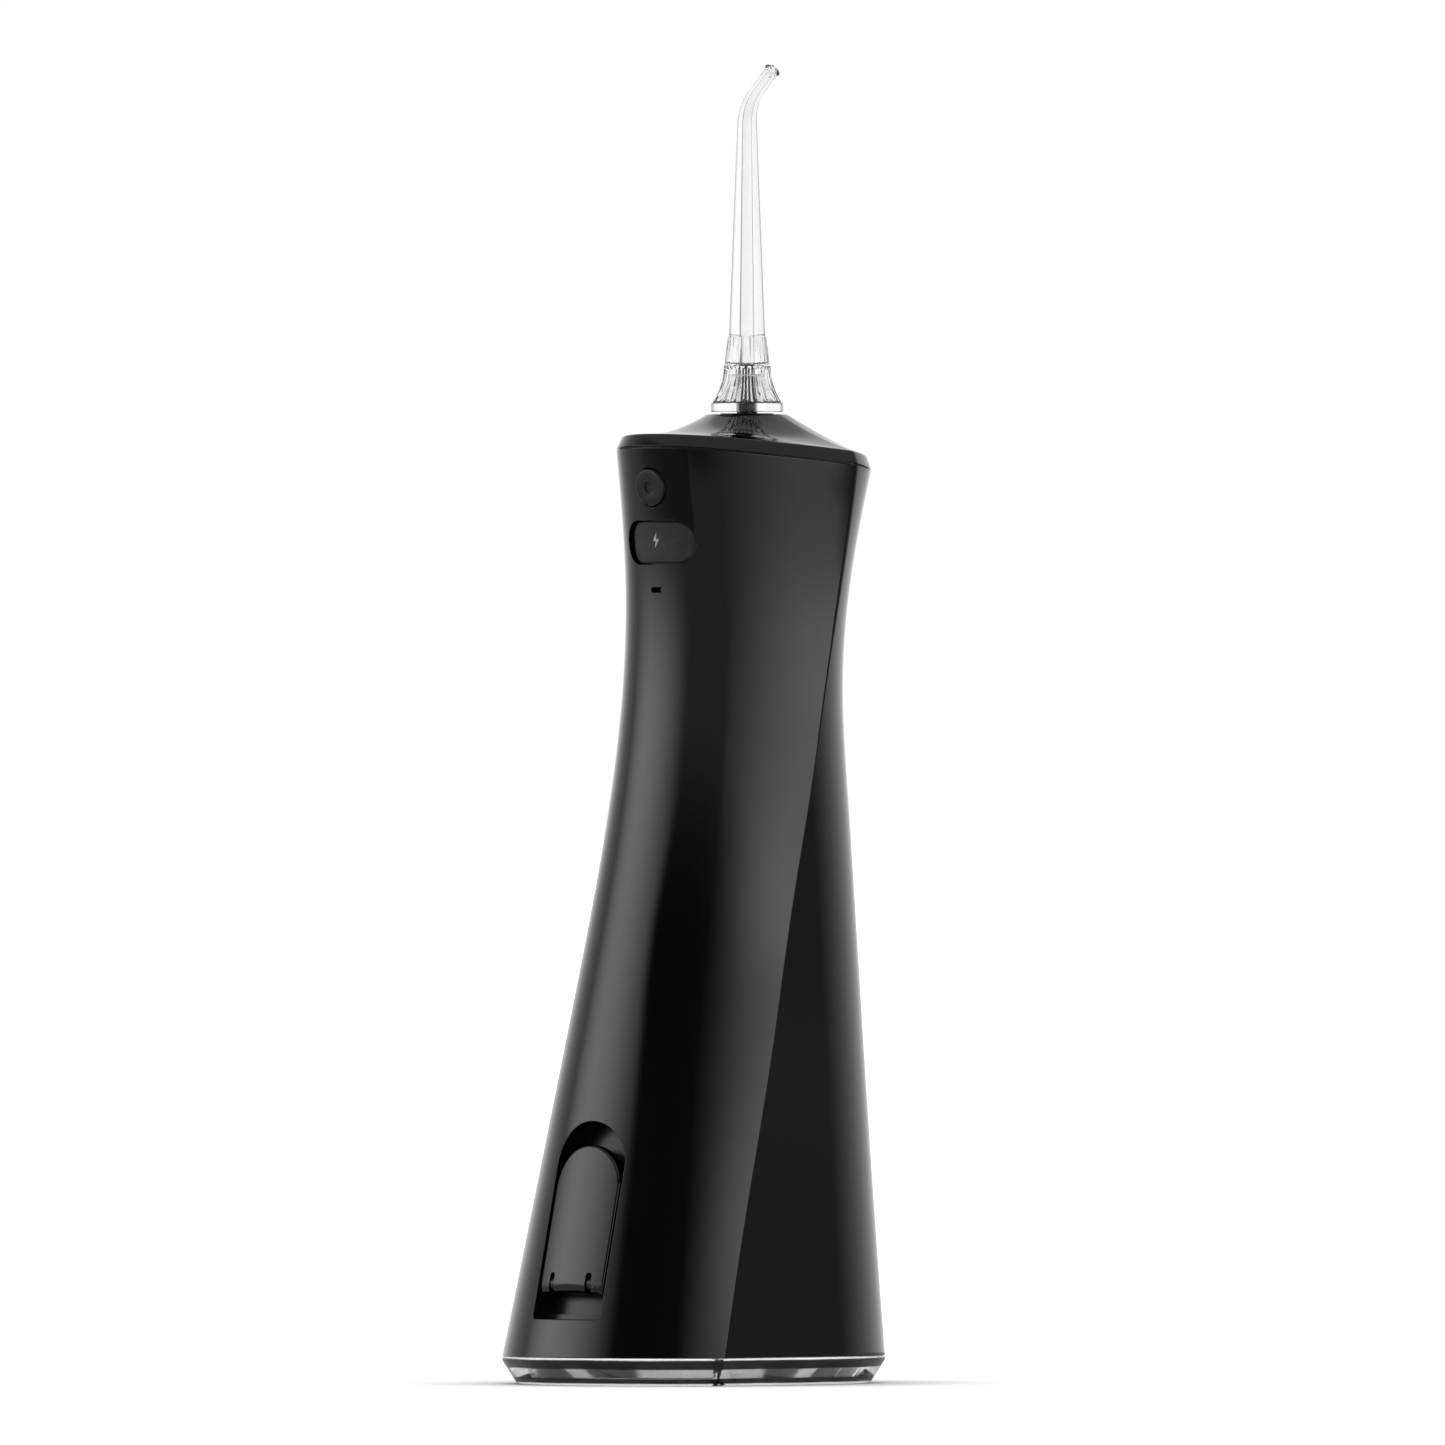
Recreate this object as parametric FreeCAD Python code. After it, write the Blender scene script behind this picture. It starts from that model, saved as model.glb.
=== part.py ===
import FreeCAD, Part
import math
import os
from collections import namedtuple
from FreeCAD import Vector

# Cordless water flosser, millimetres, +Z up. The origin lies on the surface that
# it stands on, straight under the nozzle. +Y is the back, with the release
# button, the charging port and the filling door; -Y is the front, with the
# control buttons. The housing is the same on both sides of the plane X = 0.

os.makedirs("parts", exist_ok=True)

X_AXIS = Vector(1, 0, 0)
Y_AXIS = Vector(0, 1, 0)
Z_AXIS = Vector(0, 0, 1)

# --- Housing -----------------------------------------------------------------
# Each cross-section runs from the middle of the back over a large arc, then over
# a side arc down to a crease, along a flat side facet, and round a front arc.
Section = namedtuple("Section", "height back_radius back_centre front_radius front_centre facet_angle facet")
SECTIONS = [
    Section(6.0, 38.2, 22.45, 33.5, 4.5, 90.0, 37.4),
    Section(40.0, 33.6, 19.2, 31.8, 5.6, 90.0, 27.2),
    Section(84.0, 27.7, 15.0, 29.8, 6.8, 90.0, 14.0),
    Section(128.0, 24.2, 8.6, 28.4, 8.8, 90.0, 1.0),
    Section(155.0, 22.9, 6.2, 29.5, 12.1, 105.5, 0.0),
    Section(176.0, 22.3, 6.4, 31.2, 12.2, 113.5, 0.0),
    Section(206.0, 22.0, 9.8, 31.9, 5.0, 105.7, 0.0),
]
BACK_ARC_END = 46.0
LOFT_HEIGHTS = [6.0, 32.0, 58.0, 84.0, 108.0, 130.0, 148.0, 165.0, 184.0, 210.0]
WALL = 2.2
FIT = 0.3
CASING_FOOT = 6.05
SEAM_HEIGHT = 202.1
SEAM_SLOPE = 0.112
BACK_REACH = 70.0

# --- Cap, nozzle seat and nozzle ---------------------------------------------
SEAM_GAP = 0.3
BEVEL_HEIGHT = 2.8
BEVEL_INSET = 1.5
CAP_TOP = 213.0
CAP_DISC_RADIUS = 8.85
CAP_SAG = 1.6
CAP_BORE_RADIUS = 6.0
CAP_BOSS_WALL = 2.4
CAP_BOSS_HEIGHT = 9.0
CAP_ROOF = 208.6
SKIRT_DEPTH = 2.0
RAIL_WIDTH = 1.4
SEAT_TOP = 213.2
SEAT_RADIUS = 5.9
SEAT_FLANGE_Z = 199.4
SEAT_FLANGE_RADIUS = 7.4
SEAT_FLANGE_THICKNESS = 1.4
STEM_RADIUS = 2.3
STEM_FOOT = 193.3
STEM_BORE_RADIUS = 0.95
STEM_SEAL_Z = 195.0
STEM_SEAL_SECTION = 0.8
STEM_SEAL_RADIUS = 1.97
RING_FOOT = 213.5
RING_TOP = 215.5
RING_RADIUS = 8.0
CORE_FOOT_RADIUS = 1.9
CORE_TOP_RADIUS = 1.5
CORE_TOP = 223.8
GRIP_SIDE = [(7.65, RING_TOP), (5.95, 219.0), (5.2, 223.6)]
GRIP_SHOULDER = [(4.95, 223.9), (4.25, 230.0)]
GRIP_TOP = 230.0
GRIP_RIBS = 24
RIB_DEPTH = 0.45
BEND_FOOT = 276.8
TUBE_RADII = (4.0, 2.15, 1.5)
BORE_RADII = (1.25, 0.7, 0.5)
BEND_ANGLE = 46.0
BEND_RADIUS = 10.0
TUBE_END_LENGTH = 7.2
TIP_RIM = 0.3
TIP_RIM_LENGTH = 0.7

# --- Clear foot, reservoir and filling door ----------------------------------
FOOT_HEIGHT = 6.0
FOOT_LAND = 0.8
FOOT_BEVEL = 3.3
TANK_FOOT = 9.3
TANK_TOP = 84.0
TANK_GAP = 0.4
TANK_WALL = 1.5
DOOR_SILL = 14.5
DOOR_HALF_WIDTH = 10.2
DOOR_ARCH_CENTRE = 47.6
WELL_DEPTH = 5.6
WELL_WALL = 1.5
WELL_STEP = 1.2
WELL_STEP_HEIGHT = 1.0
FLAP_HALF_WIDTH = 9.5
FLAP_ARCH_CENTRE = 43.0
FLAP_SINK = 0.35
FLAP_THICKNESS = 2.0
HINGE_Y = 54.24
HINGE_Z = 22.2
HINGE_PIN_RADIUS = 1.0
CURL_RADIUS = 2.3
BARREL_RADIUS = 1.9
BARREL_HALF_LENGTH = 7.2
LUG_RADIUS = 1.6
LUG_X = 5.5
LUG_HALF_WIDTH = 0.5
SLOT_TOP = 24.8
MOUTH_Z = 38.0
MOUTH_RADIUS = 6.2
NECK_WALL = 1.2
NECK_HEIGHT = 1.2
GASKET_OVERLAP = 2.0

# --- Back controls -----------------------------------------------------------
BUTTON_Z = 196.8
BUTTON_RADIUS = 4.05
BUTTON_TILT = 10.0
RELEASE_PROUD = 0.5
RELEASE_FLANGE_DEPTH = 3.4
RELEASE_FLANGE_WIDTH = 0.8
RELEASE_FLANGE_THICKNESS = 1.2
DIMPLE_RADIUS = 1.3
DIMPLE_DEPTH = 0.35
RIM_ROUNDING = 0.25
LATCH_BACK_GAP = 4.4
LATCH_HALF_WIDTH = 6.0
LATCH_SLOT_RADIUS = 2.7
COVER_Z = 184.7
COVER_WIDTH = 19.6
COVER_HEIGHT = 9.1
COVER_SINK = 0.9
COVER_THICKNESS = 1.5
COVER_HINGE_END = 8.8
COVER_GAP_WIDTH = 0.8
COVER_GAP_HEIGHT = 0.6
POCKET_WALL = 1.5
SOCKET_WIDTH = 9.3
SOCKET_HEIGHT = 3.5
SOCKET_DEPTH = 7.0
SOCKET_SHEET = 0.35
TONGUE_HALF_WIDTH = 3.2
LENS_Z = 174.3
LENS_WIDTH = 3.3
LENS_HEIGHT = 1.1
LENS_SINK = 1.6
LENS_DEPTH = 4.0

# --- Front controls ----------------------------------------------------------
POWER_Z = 134.0
MODE_Z = 112.0
LIGHTS_Z = 123.5
POWER_RADIUS = 7.0
MODE_RADIUS = 5.5
LIGHT_X = [-4.5, -1.5, 1.5, 4.5]
LIGHT_RADIUS = 0.9
LIGHT_BAR = (14.0, 1.2, 2.2)
BUTTON_PROUD = 0.6
DISH_RADIUS = 60.0
FLANGE_WIDTH = 1.0
FLANGE_THICKNESS = 1.0
PRESS_GAP = 1.5
BOARD_Y = -11.6
BOARD_SIZE = (18.0, 1.2, 46.0)
BOARD_FOOT = 96.0
SWITCH_SIZE = (6.0, 1.0, 6.0)
SWITCH_PLUNGER_RADIUS = 1.6
CHIP_SIZE = (7.0, 1.4, 7.0)
CHIP_Z = 119.0
PLUG_SIZE = (6.0, 4.0, 3.4)
PLUG_Z = 99.0

# --- Pump drive: a pinion and gear turn a crank that lifts the plunger ---------
GEAR_MODULE = 0.6
PINION_TEETH = 12
GEAR_TEETH = 38
GEAR_Z = 158.0
GEAR_X = 9.0
GEAR_WIDTH = 3.5
GEAR_HOLES = 5
GEAR_HOLE_RADIUS = 2.4
GEAR_HOLE_CIRCLE = 6.6
PRESSURE_ANGLE = math.radians(20)
BACKLASH = 0.05
ADDENDUM = 0.95
DEDENDUM = 1.25
AXLE_RADIUS = 1.5
AXLE_END = 0.8
MOTOR_Y = 11.0
MOTOR_RADIUS = 8.5
MOTOR_LENGTH = 22.0
MOTOR_BOSS_RADIUS = 3.0
MOTOR_BEARING_RADIUS = 2.5
MOTOR_BEARING_LENGTH = 1.2
TERMINAL_Y = 5.0
TERMINAL_SIZE = (3.0, 0.5, 2.0)
SHAFT_RADIUS = 1.0
SHAFT_ROOT = 5.5
SHAFT_END = 0.6
PLATE_X = 7.0
PLATE_THICKNESS = 1.4
CRANK_X = 4.6
CRANK_RADIUS = 3.0
CRANK_DISC_RADIUS = 5.0
CRANK_DISC_THICKNESS = 1.8
CRANK_PIN_RADIUS = 0.9
ROD_LENGTH = 15.0
ROD_HALF_WIDTH = 1.4
ROD_HALF_DEPTH = 0.9
BIG_EYE_RADIUS = 2.0
SMALL_EYE_RADIUS = 1.9
WRIST_PIN_RADIUS = 0.8
WRIST_PIN_LENGTH = 6.0
PLUNGER_RADIUS = 3.4
PLUNGER_LENGTH = 15.0
PLUNGER_SKIRT = 3.0
SEAL_Z = 9.0
SEAL_WIDTH = 1.1
SEAL_DEPTH = 0.8

# --- Pump, hose, chassis and battery -------------------------------------------
PUMP_FOOT = 177.0
PUMP_HEAD = 191.0
PUMP_RADIUS = 6.3
PUMP_FLANGE_RADIUS = 7.5
PUMP_CHAMBER = 12.6
PUMP_OUTLET_RADIUS = 1.2
PUMP_SHELF_Z = 181.0
PUMP_SHELF_THICKNESS = 2.0
CUP_RADIUS = 4.2
CUP_TOP = 195.3
CUP_GAP = 0.15
INLET_Z = 188.0
INLET_X = -10.0
INLET_RADIUS = 2.4
HOSE_RADIUS = 1.55
HOSE_BORE_RADIUS = 0.9
HOSE_START_X = -6.5
HOSE_BEND = 4.0
SUCTION_X = -18.0
FILTER_RADIUS = 3.4
FILTER_HEIGHT = 7.0
FILTER_SLOTS = 6
FLOOR_THICKNESS = 1.6
CHASSIS_HALF_DEPTH = 8.0
MOTOR_PLATE_REACH = 10.0
MOTOR_PLATE_TOP = 12.0
STAND_OFFS = [100.0, 134.0]
STAND_OFF_HEIGHT = 4.0
BATTERY_RADIUS = 9.2
BATTERY_LENGTH = 49.0
BATTERY_Y = 16.5
BATTERY_TIP_RADIUS = 3.0
BATTERY_TIP_LENGTH = 1.0
CRADLE_WALL = 1.2
CRADLE_HEIGHT = 8.0
CENTRES = GEAR_MODULE * (GEAR_TEETH + PINION_TEETH) / 2
MOTOR_Z = GEAR_Z - math.sqrt(CENTRES ** 2 - MOTOR_Y ** 2)
MESH_ANGLE = math.degrees(math.atan2(MOTOR_Z - GEAR_Z, MOTOR_Y))
WRIST_Z = GEAR_Z + CRANK_RADIUS + ROD_LENGTH


def natural_spline(places, values):
    """Return the smooth function that passes through the given values."""
    count = len(places)
    steps = [places[i + 1] - places[i] for i in range(count - 1)]
    slopes = [(values[i + 1] - values[i]) / steps[i] for i in range(count - 1)]
    diagonal = [1.0] * count
    bends = [0.0] * count
    for i in range(1, count - 1):
        lead = steps[i - 1] if i > 1 else 0.0
        weight = lead / diagonal[i - 1]
        diagonal[i] = 2 * (steps[i - 1] + steps[i]) - weight * lead
        bends[i] = 6 * (slopes[i] - slopes[i - 1]) - weight * bends[i - 1]
    for i in range(count - 2, 0, -1):
        bends[i] = (bends[i] - steps[i] * bends[i + 1]) / diagonal[i]

    def value(place):
        i = max(0, min(count - 2, sum(place >= p for p in places) - 1))
        t = place - places[i]
        start = slopes[i] - steps[i] * (2 * bends[i] + bends[i + 1]) / 6
        change = (bends[i + 1] - bends[i]) / (6 * steps[i])
        return values[i] + t * start + t * t * bends[i] / 2 + t ** 3 * change

    return value


HEIGHTS = [s.height for s in SECTIONS]
SHAPE = {f: natural_spline(HEIGHTS, [getattr(s, f) for s in SECTIONS]) for f in Section._fields[1:]}


def direction(angle):
    """Unit normal of the outline, as an angle in degrees from the back."""
    return math.sin(math.radians(angle)), math.cos(math.radians(angle))


def section(height, inset):
    """Arcs and corners of one half of the outline, moved inwards by inset."""
    p = {name: shape(height) for name, shape in SHAPE.items()}
    facet = max(p["facet"], 0.0)
    out_x, out_y = direction(BACK_ARC_END)
    side = (p["back_radius"] * out_x, p["back_centre"] + p["back_radius"] * out_y)
    facet_x, facet_y = direction(p["facet_angle"])
    crease = (p["front_radius"] * facet_x - facet * facet_y,
              p["front_centre"] + p["front_radius"] * facet_y + facet * facet_x)
    chord = math.degrees(math.atan2(side[1] - crease[1], crease[0] - side[0]))
    side_end = 2 * chord - BACK_ARC_END
    end_x, end_y = direction(side_end)
    turn = end_x * facet_y - end_y * facet_x
    crease = (crease[0] - inset * (facet_y - end_y) / turn, crease[1] - inset * (end_x - facet_x) / turn)
    side = (side[0] - inset * out_x, side[1] - inset * out_y)
    return p, side, crease


def back_point(height, inset, share):
    """Point on the back outline; share runs from -1 over 0 (middle) to 1 (crease)."""
    p, side, crease = section(height, inset)
    if abs(share) == 1.0:
        return math.copysign(crease[0], share), crease[1]
    radius = p["back_radius"] - inset
    arc = radius * math.radians(BACK_ARC_END)
    reach = math.hypot(crease[0] - side[0], crease[1] - side[1])
    chord = math.degrees(math.atan2(side[1] - crease[1], crease[0] - side[0]))
    half = math.radians(chord - BACK_ARC_END)
    side_radius = reach / (2 * math.sin(half))
    side_arc = 2 * half * side_radius
    run = abs(share) * (arc + side_arc)
    if run <= arc:
        angle = run / radius
        x, y = radius * math.sin(angle), p["back_centre"] + radius * math.cos(angle)
    else:
        start = math.radians(BACK_ARC_END)
        angle = start + (run - arc) / side_radius
        x = side[0] + side_radius * (math.sin(angle) - math.sin(start))
        y = side[1] + side_radius * (math.cos(angle) - math.cos(start))
    return math.copysign(x, share), y


def front_point(height, inset, share):
    """Point on the front outline; share runs from -1 over 0 (middle) to 1 (crease)."""
    p, side, crease = section(height, inset)
    if abs(share) == 1.0:
        return math.copysign(crease[0], share), crease[1]
    radius = p["front_radius"] - inset
    facet_x, facet_y = direction(p["facet_angle"])
    start = (radius * facet_x, p["front_centre"] + radius * facet_y)
    facet = (crease[0] - start[0]) * -facet_y + (crease[1] - start[1]) * facet_x
    arc = radius * math.radians(180.0 - p["facet_angle"])
    run = abs(share) * (arc + facet)
    if run <= arc:
        angle = run / radius
        x, y = radius * math.sin(angle), p["front_centre"] - radius * math.cos(angle)
    else:
        x = start[0] - (run - arc) * facet_y
        y = start[1] + (run - arc) * facet_x
    return math.copysign(x, share), y


SHARES = [i / 8 for i in range(-8, 9)]


def ring_points(point, height, slope, inset, place):
    """Points of one outline half on the plane z = height + slope * y."""
    points = []
    for share in SHARES:
        z = height
        for _ in range(4):
            x, y = point(z, inset, share)
            z = height + slope * y
        points.append(Vector(x, y, z + place))
    return points


def closed_wire(back, front):
    """Wire of two smooth curves that meet at the creases."""
    edges = []
    for points in (back, front):
        curve = Part.BSplineCurve()
        curve.interpolate(Points=points, Parameters=SHARES)
        edges.append(curve.toShape())
    return Part.Wire(edges)


def ring(height, inset=0.0, slope=0.0, place=0.0):
    """Outline of the housing at a height, shifted up by place."""
    back = ring_points(back_point, height, slope, inset, place)
    front = ring_points(front_point, height, slope, inset, place)
    return closed_wire(back, front)


def body(inset):
    """The whole housing form as one solid, moved inwards by inset."""
    return Part.makeLoft([ring(z, inset) for z in LOFT_HEIGHTS], True, False)


def slab(low, high, slope=0.0):
    """Wide block between two parallel planes z = height + slope * y."""
    reach = 90.0
    corners = [Vector(-reach, -reach, low - slope * reach), Vector(-reach, reach, low + slope * reach),
               Vector(-reach, reach, high + slope * reach), Vector(-reach, -reach, high - slope * reach)]
    return Part.Face(Part.makePolygon(corners + corners[:1])).extrude(Vector(2 * reach, 0, 0))


def back_y(height):
    """Y of the housing's back at a height."""
    return back_point(height, 0.0, 0.0)[1]


def front_y(height):
    """Y of the housing's front at a height."""
    return front_point(height, 0.0, 0.0)[1]


def cylinder(radius, start, axis, length):
    """Cylinder from a start point along an axis."""
    return Part.makeCylinder(radius, length, start, axis)


def through_hole(radius, middle, axis):
    """Cylinder that passes through a wall on both sides of a point."""
    reach = 8.0
    return cylinder(radius, middle - axis * reach, axis, 2 * reach)


def tube(outer, inner, start, axis, length):
    """Hollow cylinder."""
    return cylinder(outer, start, axis, length).cut(cylinder(inner, start, axis, length))


def box(low, high):
    """Box between two corners."""
    size = [b - a for a, b in zip(low, high)]
    return Part.makeBox(*size, Vector(*low))


def block(size, middle, foot_y, foot_z):
    """Box of a given size from its middle in X and its lowest Y and Z."""
    return Part.makeBox(*size, Vector(middle - size[0] / 2, foot_y, foot_z))


def round_rim(solid, centre, radius, size):
    """Round the circular edge that has a given centre and radius."""
    rims = []
    for edge in solid.Edges:
        curve = edge.Curve
        if isinstance(curve, Part.Circle) and abs(curve.Radius - radius) < 0.01:
            if (curve.Center - centre).Length < 0.01:
                rims.append(edge)
    return solid.makeFillet(size, rims)


def torus(section, radius, height):
    """Ring of round section about Z."""
    return Part.makeTorus(radius, section, Vector(0, 0, height), Z_AXIS)


def arch(half_width, foot, centre, grow=0.0):
    """Prism along Y with an upright arch for its outline."""
    half = half_width + grow
    low = foot - grow
    corners = [Vector(-half, 0, centre), Vector(-half, 0, low), Vector(half, 0, low), Vector(half, 0, centre)]
    edges = [Part.LineSegment(a, b).toShape() for a, b in zip(corners, corners[1:])]
    edges.append(Part.Arc(corners[3], Vector(0, 0, centre + half), corners[0]).toShape())
    return Part.Face(Part.Wire(edges)).extrude(Vector(0, BACK_REACH, 0))


def stadium(width, height, z, start, depth):
    """Prism along Y with rounded ends, lying across the housing."""
    radius = height / 2
    half = width / 2 - radius
    a, b = Vector(-half, start, z + radius), Vector(half, start, z + radius)
    c, d = Vector(half, start, z - radius), Vector(-half, start, z - radius)
    edges = [Part.LineSegment(a, b).toShape(), Part.Arc(b, Vector(half + radius, start, z), c).toShape(),
             Part.LineSegment(c, d).toShape(), Part.Arc(d, Vector(-half - radius, start, z), a).toShape()]
    return Part.Face(Part.Wire(edges)).extrude(Vector(0, depth, 0))


def turned(points):
    """Solid of revolution about Z from (radius, height) points."""
    outline = [Vector(r, 0, z) for r, z in points]
    return Part.Face(Part.makePolygon(outline + outline[:1])).revolve(Vector(), Z_AXIS, 360)


def front_normal(height):
    """Outward normal of the front at a height."""
    rise = (front_y(height + 2) - front_y(height - 2)) / 4
    return Vector(0, -1, rise).normalize()


BUTTON_IN = Vector(0, -math.cos(math.radians(BUTTON_TILT)), math.sin(math.radians(BUTTON_TILT)))


# --- Housing pieces ------------------------------------------------------------

def outer_casing(outer, inner):
    """One black moulding from the clear foot to the slanted seam."""
    shell = outer.common(slab(CASING_FOOT, 260)).common(slab(0, SEAM_HEIGHT, SEAM_SLOPE))
    holes = [
        inner,
        arch(DOOR_HALF_WIDTH, DOOR_SILL, DOOR_ARCH_CENTRE),
        stadium(COVER_WIDTH + COVER_GAP_WIDTH, COVER_HEIGHT + COVER_GAP_HEIGHT, COVER_Z, 0, BACK_REACH),
        stadium(LENS_WIDTH + 0.1, LENS_HEIGHT + 0.1, LENS_Z, 0, BACK_REACH),
        through_hole(BUTTON_RADIUS + FIT, Vector(0, back_y(BUTTON_Z), BUTTON_Z), BUTTON_IN),
    ]
    for z, radius in ((POWER_Z, POWER_RADIUS), (MODE_Z, MODE_RADIUS)):
        holes.append(through_hole(radius + FIT, Vector(0, front_y(z), z), front_normal(z)))
    for x in LIGHT_X:
        holes.append(through_hole(LIGHT_RADIUS, Vector(x, front_y(LIGHTS_Z), LIGHTS_Z), Y_AXIS))
    for hole in holes:
        shell = shell.cut(hole)
    return shell


def cap_rings():
    """Outlines of the cap: seam, bevel edge, mid-slope and top disc."""
    seam = [ring_points(p, SEAM_HEIGHT + SEAM_GAP, SEAM_SLOPE, 0.0, 0.0) for p in (back_point, front_point)]
    rim_height = SEAM_HEIGHT + SEAM_GAP + BEVEL_HEIGHT
    rim = [ring_points(p, rim_height, SEAM_SLOPE, BEVEL_INSET, 0.0) for p in (back_point, front_point)]
    disc, slope = [], []
    for half in rim:
        spokes = [Vector(p.x, p.y, 0).normalize() for p in half]
        disc.append([s * CAP_DISC_RADIUS + Vector(0, 0, CAP_TOP) for s in spokes])
        middle = []
        for rim_point, disc_point, spoke in zip(half, disc[-1], spokes):
            sag = CAP_SAG * (0.5 + 0.5 * spoke.y)
            middle.append((rim_point + disc_point) * 0.5 - Vector(0, 0, sag))
        slope.append(middle)
    return seam, rim, slope, disc


def top_cap():
    """Cap with a bevelled rim and a sloping top that rises to the nozzle's disc."""
    seam, rim, slope, disc = [closed_wire(*halves) for halves in cap_rings()]
    solid = Part.makeLoft([seam, rim], True, True).fuse(Part.makeLoft([rim, slope, disc], True, False))
    low = SEAM_HEIGHT + SEAM_GAP
    hollow = Part.makeLoft([ring(low - 0.5, 3.4, SEAM_SLOPE), ring(low + 2.2, 4.8, SEAM_SLOPE)], True, True)
    roof = Part.Wire(Part.Circle(Vector(0, 1, CAP_ROOF), Z_AXIS, 12.0).toShape())
    hollow = hollow.fuse(Part.makeLoft([ring(low + 2.0, 4.7, SEAM_SLOPE), roof], True, True))
    within = body(WALL + 0.1)
    skirt = within.cut(body(WALL + 1.3)).common(slab(SEAM_HEIGHT - SKIRT_DEPTH, low + 0.4, SEAM_SLOPE))
    boss_foot = SEAT_FLANGE_Z + SEAT_FLANGE_THICKNESS + FIT
    boss = cylinder(CAP_BORE_RADIUS + CAP_BOSS_WALL, Vector(0, 0, boss_foot), Z_AXIS, CAP_BOSS_HEIGHT)
    cap = solid.cut(hollow).fuse(boss).fuse(skirt)
    inside = solid.fuse(within.common(slab(0, low, SEAM_SLOPE)))
    rail_x = LATCH_HALF_WIDTH + 0.4
    for x in (-rail_x - RAIL_WIDTH, rail_x):
        rail = box((x, 9.0, BUTTON_Z - 1.6), (x + RAIL_WIDTH, 21.0, CAP_TOP))
        cap = cap.fuse(rail.common(inside))
    bore = cylinder(CAP_BORE_RADIUS, Vector(0, 0, STEM_FOOT), Z_AXIS, CAP_TOP)
    return cap.cut(bore)


def cap_seal():
    """Thin black gasket in the seam, set back to leave a fine dark line."""
    return body(0.7).cut(body(WALL)).common(slab(SEAM_HEIGHT, SEAM_HEIGHT + SEAM_GAP, SEAM_SLOPE))


def clear_base():
    """Clear foot with an upright land, a straight bevel and a hollow inside."""
    foot = SECTIONS[0].height
    outline = [(FOOT_BEVEL, 0.0), (0.0, FOOT_HEIGHT - FOOT_LAND), (0.0, FOOT_HEIGHT)]
    wires = [ring(foot, inset, place=z - foot) for inset, z in outline]
    solid = Part.makeLoft(wires, True, True)
    lip = Part.makeLoft([ring(foot, WALL + 0.1, place=-1.0), ring(TANK_FOOT, WALL + 0.1)], True, True)
    hollow = Part.makeLoft([ring(foot, 5.6, place=-4.0), ring(TANK_FOOT + 1.0, WALL + 1.5)], True, True)
    return solid.fuse(lip).cut(hollow)


def tank(outside):
    """Clear reservoir that fills the lower half and bends round the door's well."""
    grow = WELL_WALL + FIT
    recess = arch(DOOR_HALF_WIDTH, DOOR_SILL, DOOR_ARCH_CENTRE, grow)
    shell = outside.common(slab(TANK_FOOT, TANK_TOP)).cut(recess.cut(body(WELL_DEPTH + grow)))
    recess = arch(DOOR_HALF_WIDTH, DOOR_SILL, DOOR_ARCH_CENTRE, grow + TANK_WALL)
    hollow = body(WALL + TANK_GAP + TANK_WALL).common(slab(TANK_FOOT + TANK_WALL, TANK_TOP - TANK_WALL))
    hollow = hollow.cut(recess.cut(body(WELL_DEPTH + grow + TANK_WALL)))
    neck = cylinder(MOUTH_RADIUS + NECK_WALL + 0.05, Vector(0, 30, MOUTH_Z), Y_AXIS, 30)
    pipe = through_hole(HOSE_RADIUS + 0.1, Vector(SUCTION_X, 0, TANK_TOP), Z_AXIS)
    return shell.cut(hollow).cut(neck).cut(pipe)


def door_well():
    """Arched pocket behind the filling door, with the filler neck in its floor."""
    walls = arch(DOOR_HALF_WIDTH, DOOR_SILL, DOOR_ARCH_CENTRE, WELL_WALL).common(body(WALL + 0.05))
    walls = walls.cut(body(WELL_DEPTH + WELL_WALL))
    pocket = arch(DOOR_HALF_WIDTH, DOOR_SILL, DOOR_ARCH_CENTRE).cut(body(WELL_DEPTH))
    step = slab(DOOR_SILL, DOOR_SILL + WELL_STEP_HEIGHT).common(body(WELL_DEPTH - WELL_STEP))
    pocket = pocket.cut(step)
    neck = cylinder(MOUTH_RADIUS + NECK_WALL, Vector(0, 42, MOUTH_Z), Y_AXIS, 20)
    neck = neck.common(body(WELL_DEPTH - NECK_HEIGHT))
    mouth = cylinder(MOUTH_RADIUS, Vector(0, 30, MOUTH_Z), Y_AXIS, 30)
    well = walls.cut(pocket).fuse(neck).cut(mouth)
    root = back_y(HINGE_Z) - WELL_DEPTH - 0.5
    for x in (-LUG_X, LUG_X):
        low, high = x - LUG_HALF_WIDTH, x + LUG_HALF_WIDTH
        arm = box((low, root, HINGE_Z - LUG_RADIUS), (high, HINGE_Y, HINGE_Z + LUG_RADIUS))
        nose = cylinder(LUG_RADIUS, Vector(low, HINGE_Y, HINGE_Z), X_AXIS, high - low)
        well = well.fuse(arm).fuse(nose)
    return well.cut(hinge_cylinder(HINGE_PIN_RADIUS + 0.02))


def hinge_cylinder(radius, half_length=BARREL_HALF_LENGTH):
    """Cylinder on the door's hinge axis, centred on X = 0."""
    return cylinder(radius, Vector(-half_length, HINGE_Y, HINGE_Z), X_AXIS, 2 * half_length)


def door_pin():
    """Steel pin of the filling door, held by the well's two lugs."""
    return hinge_cylinder(HINGE_PIN_RADIUS, BARREL_HALF_LENGTH - 0.2)


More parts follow.
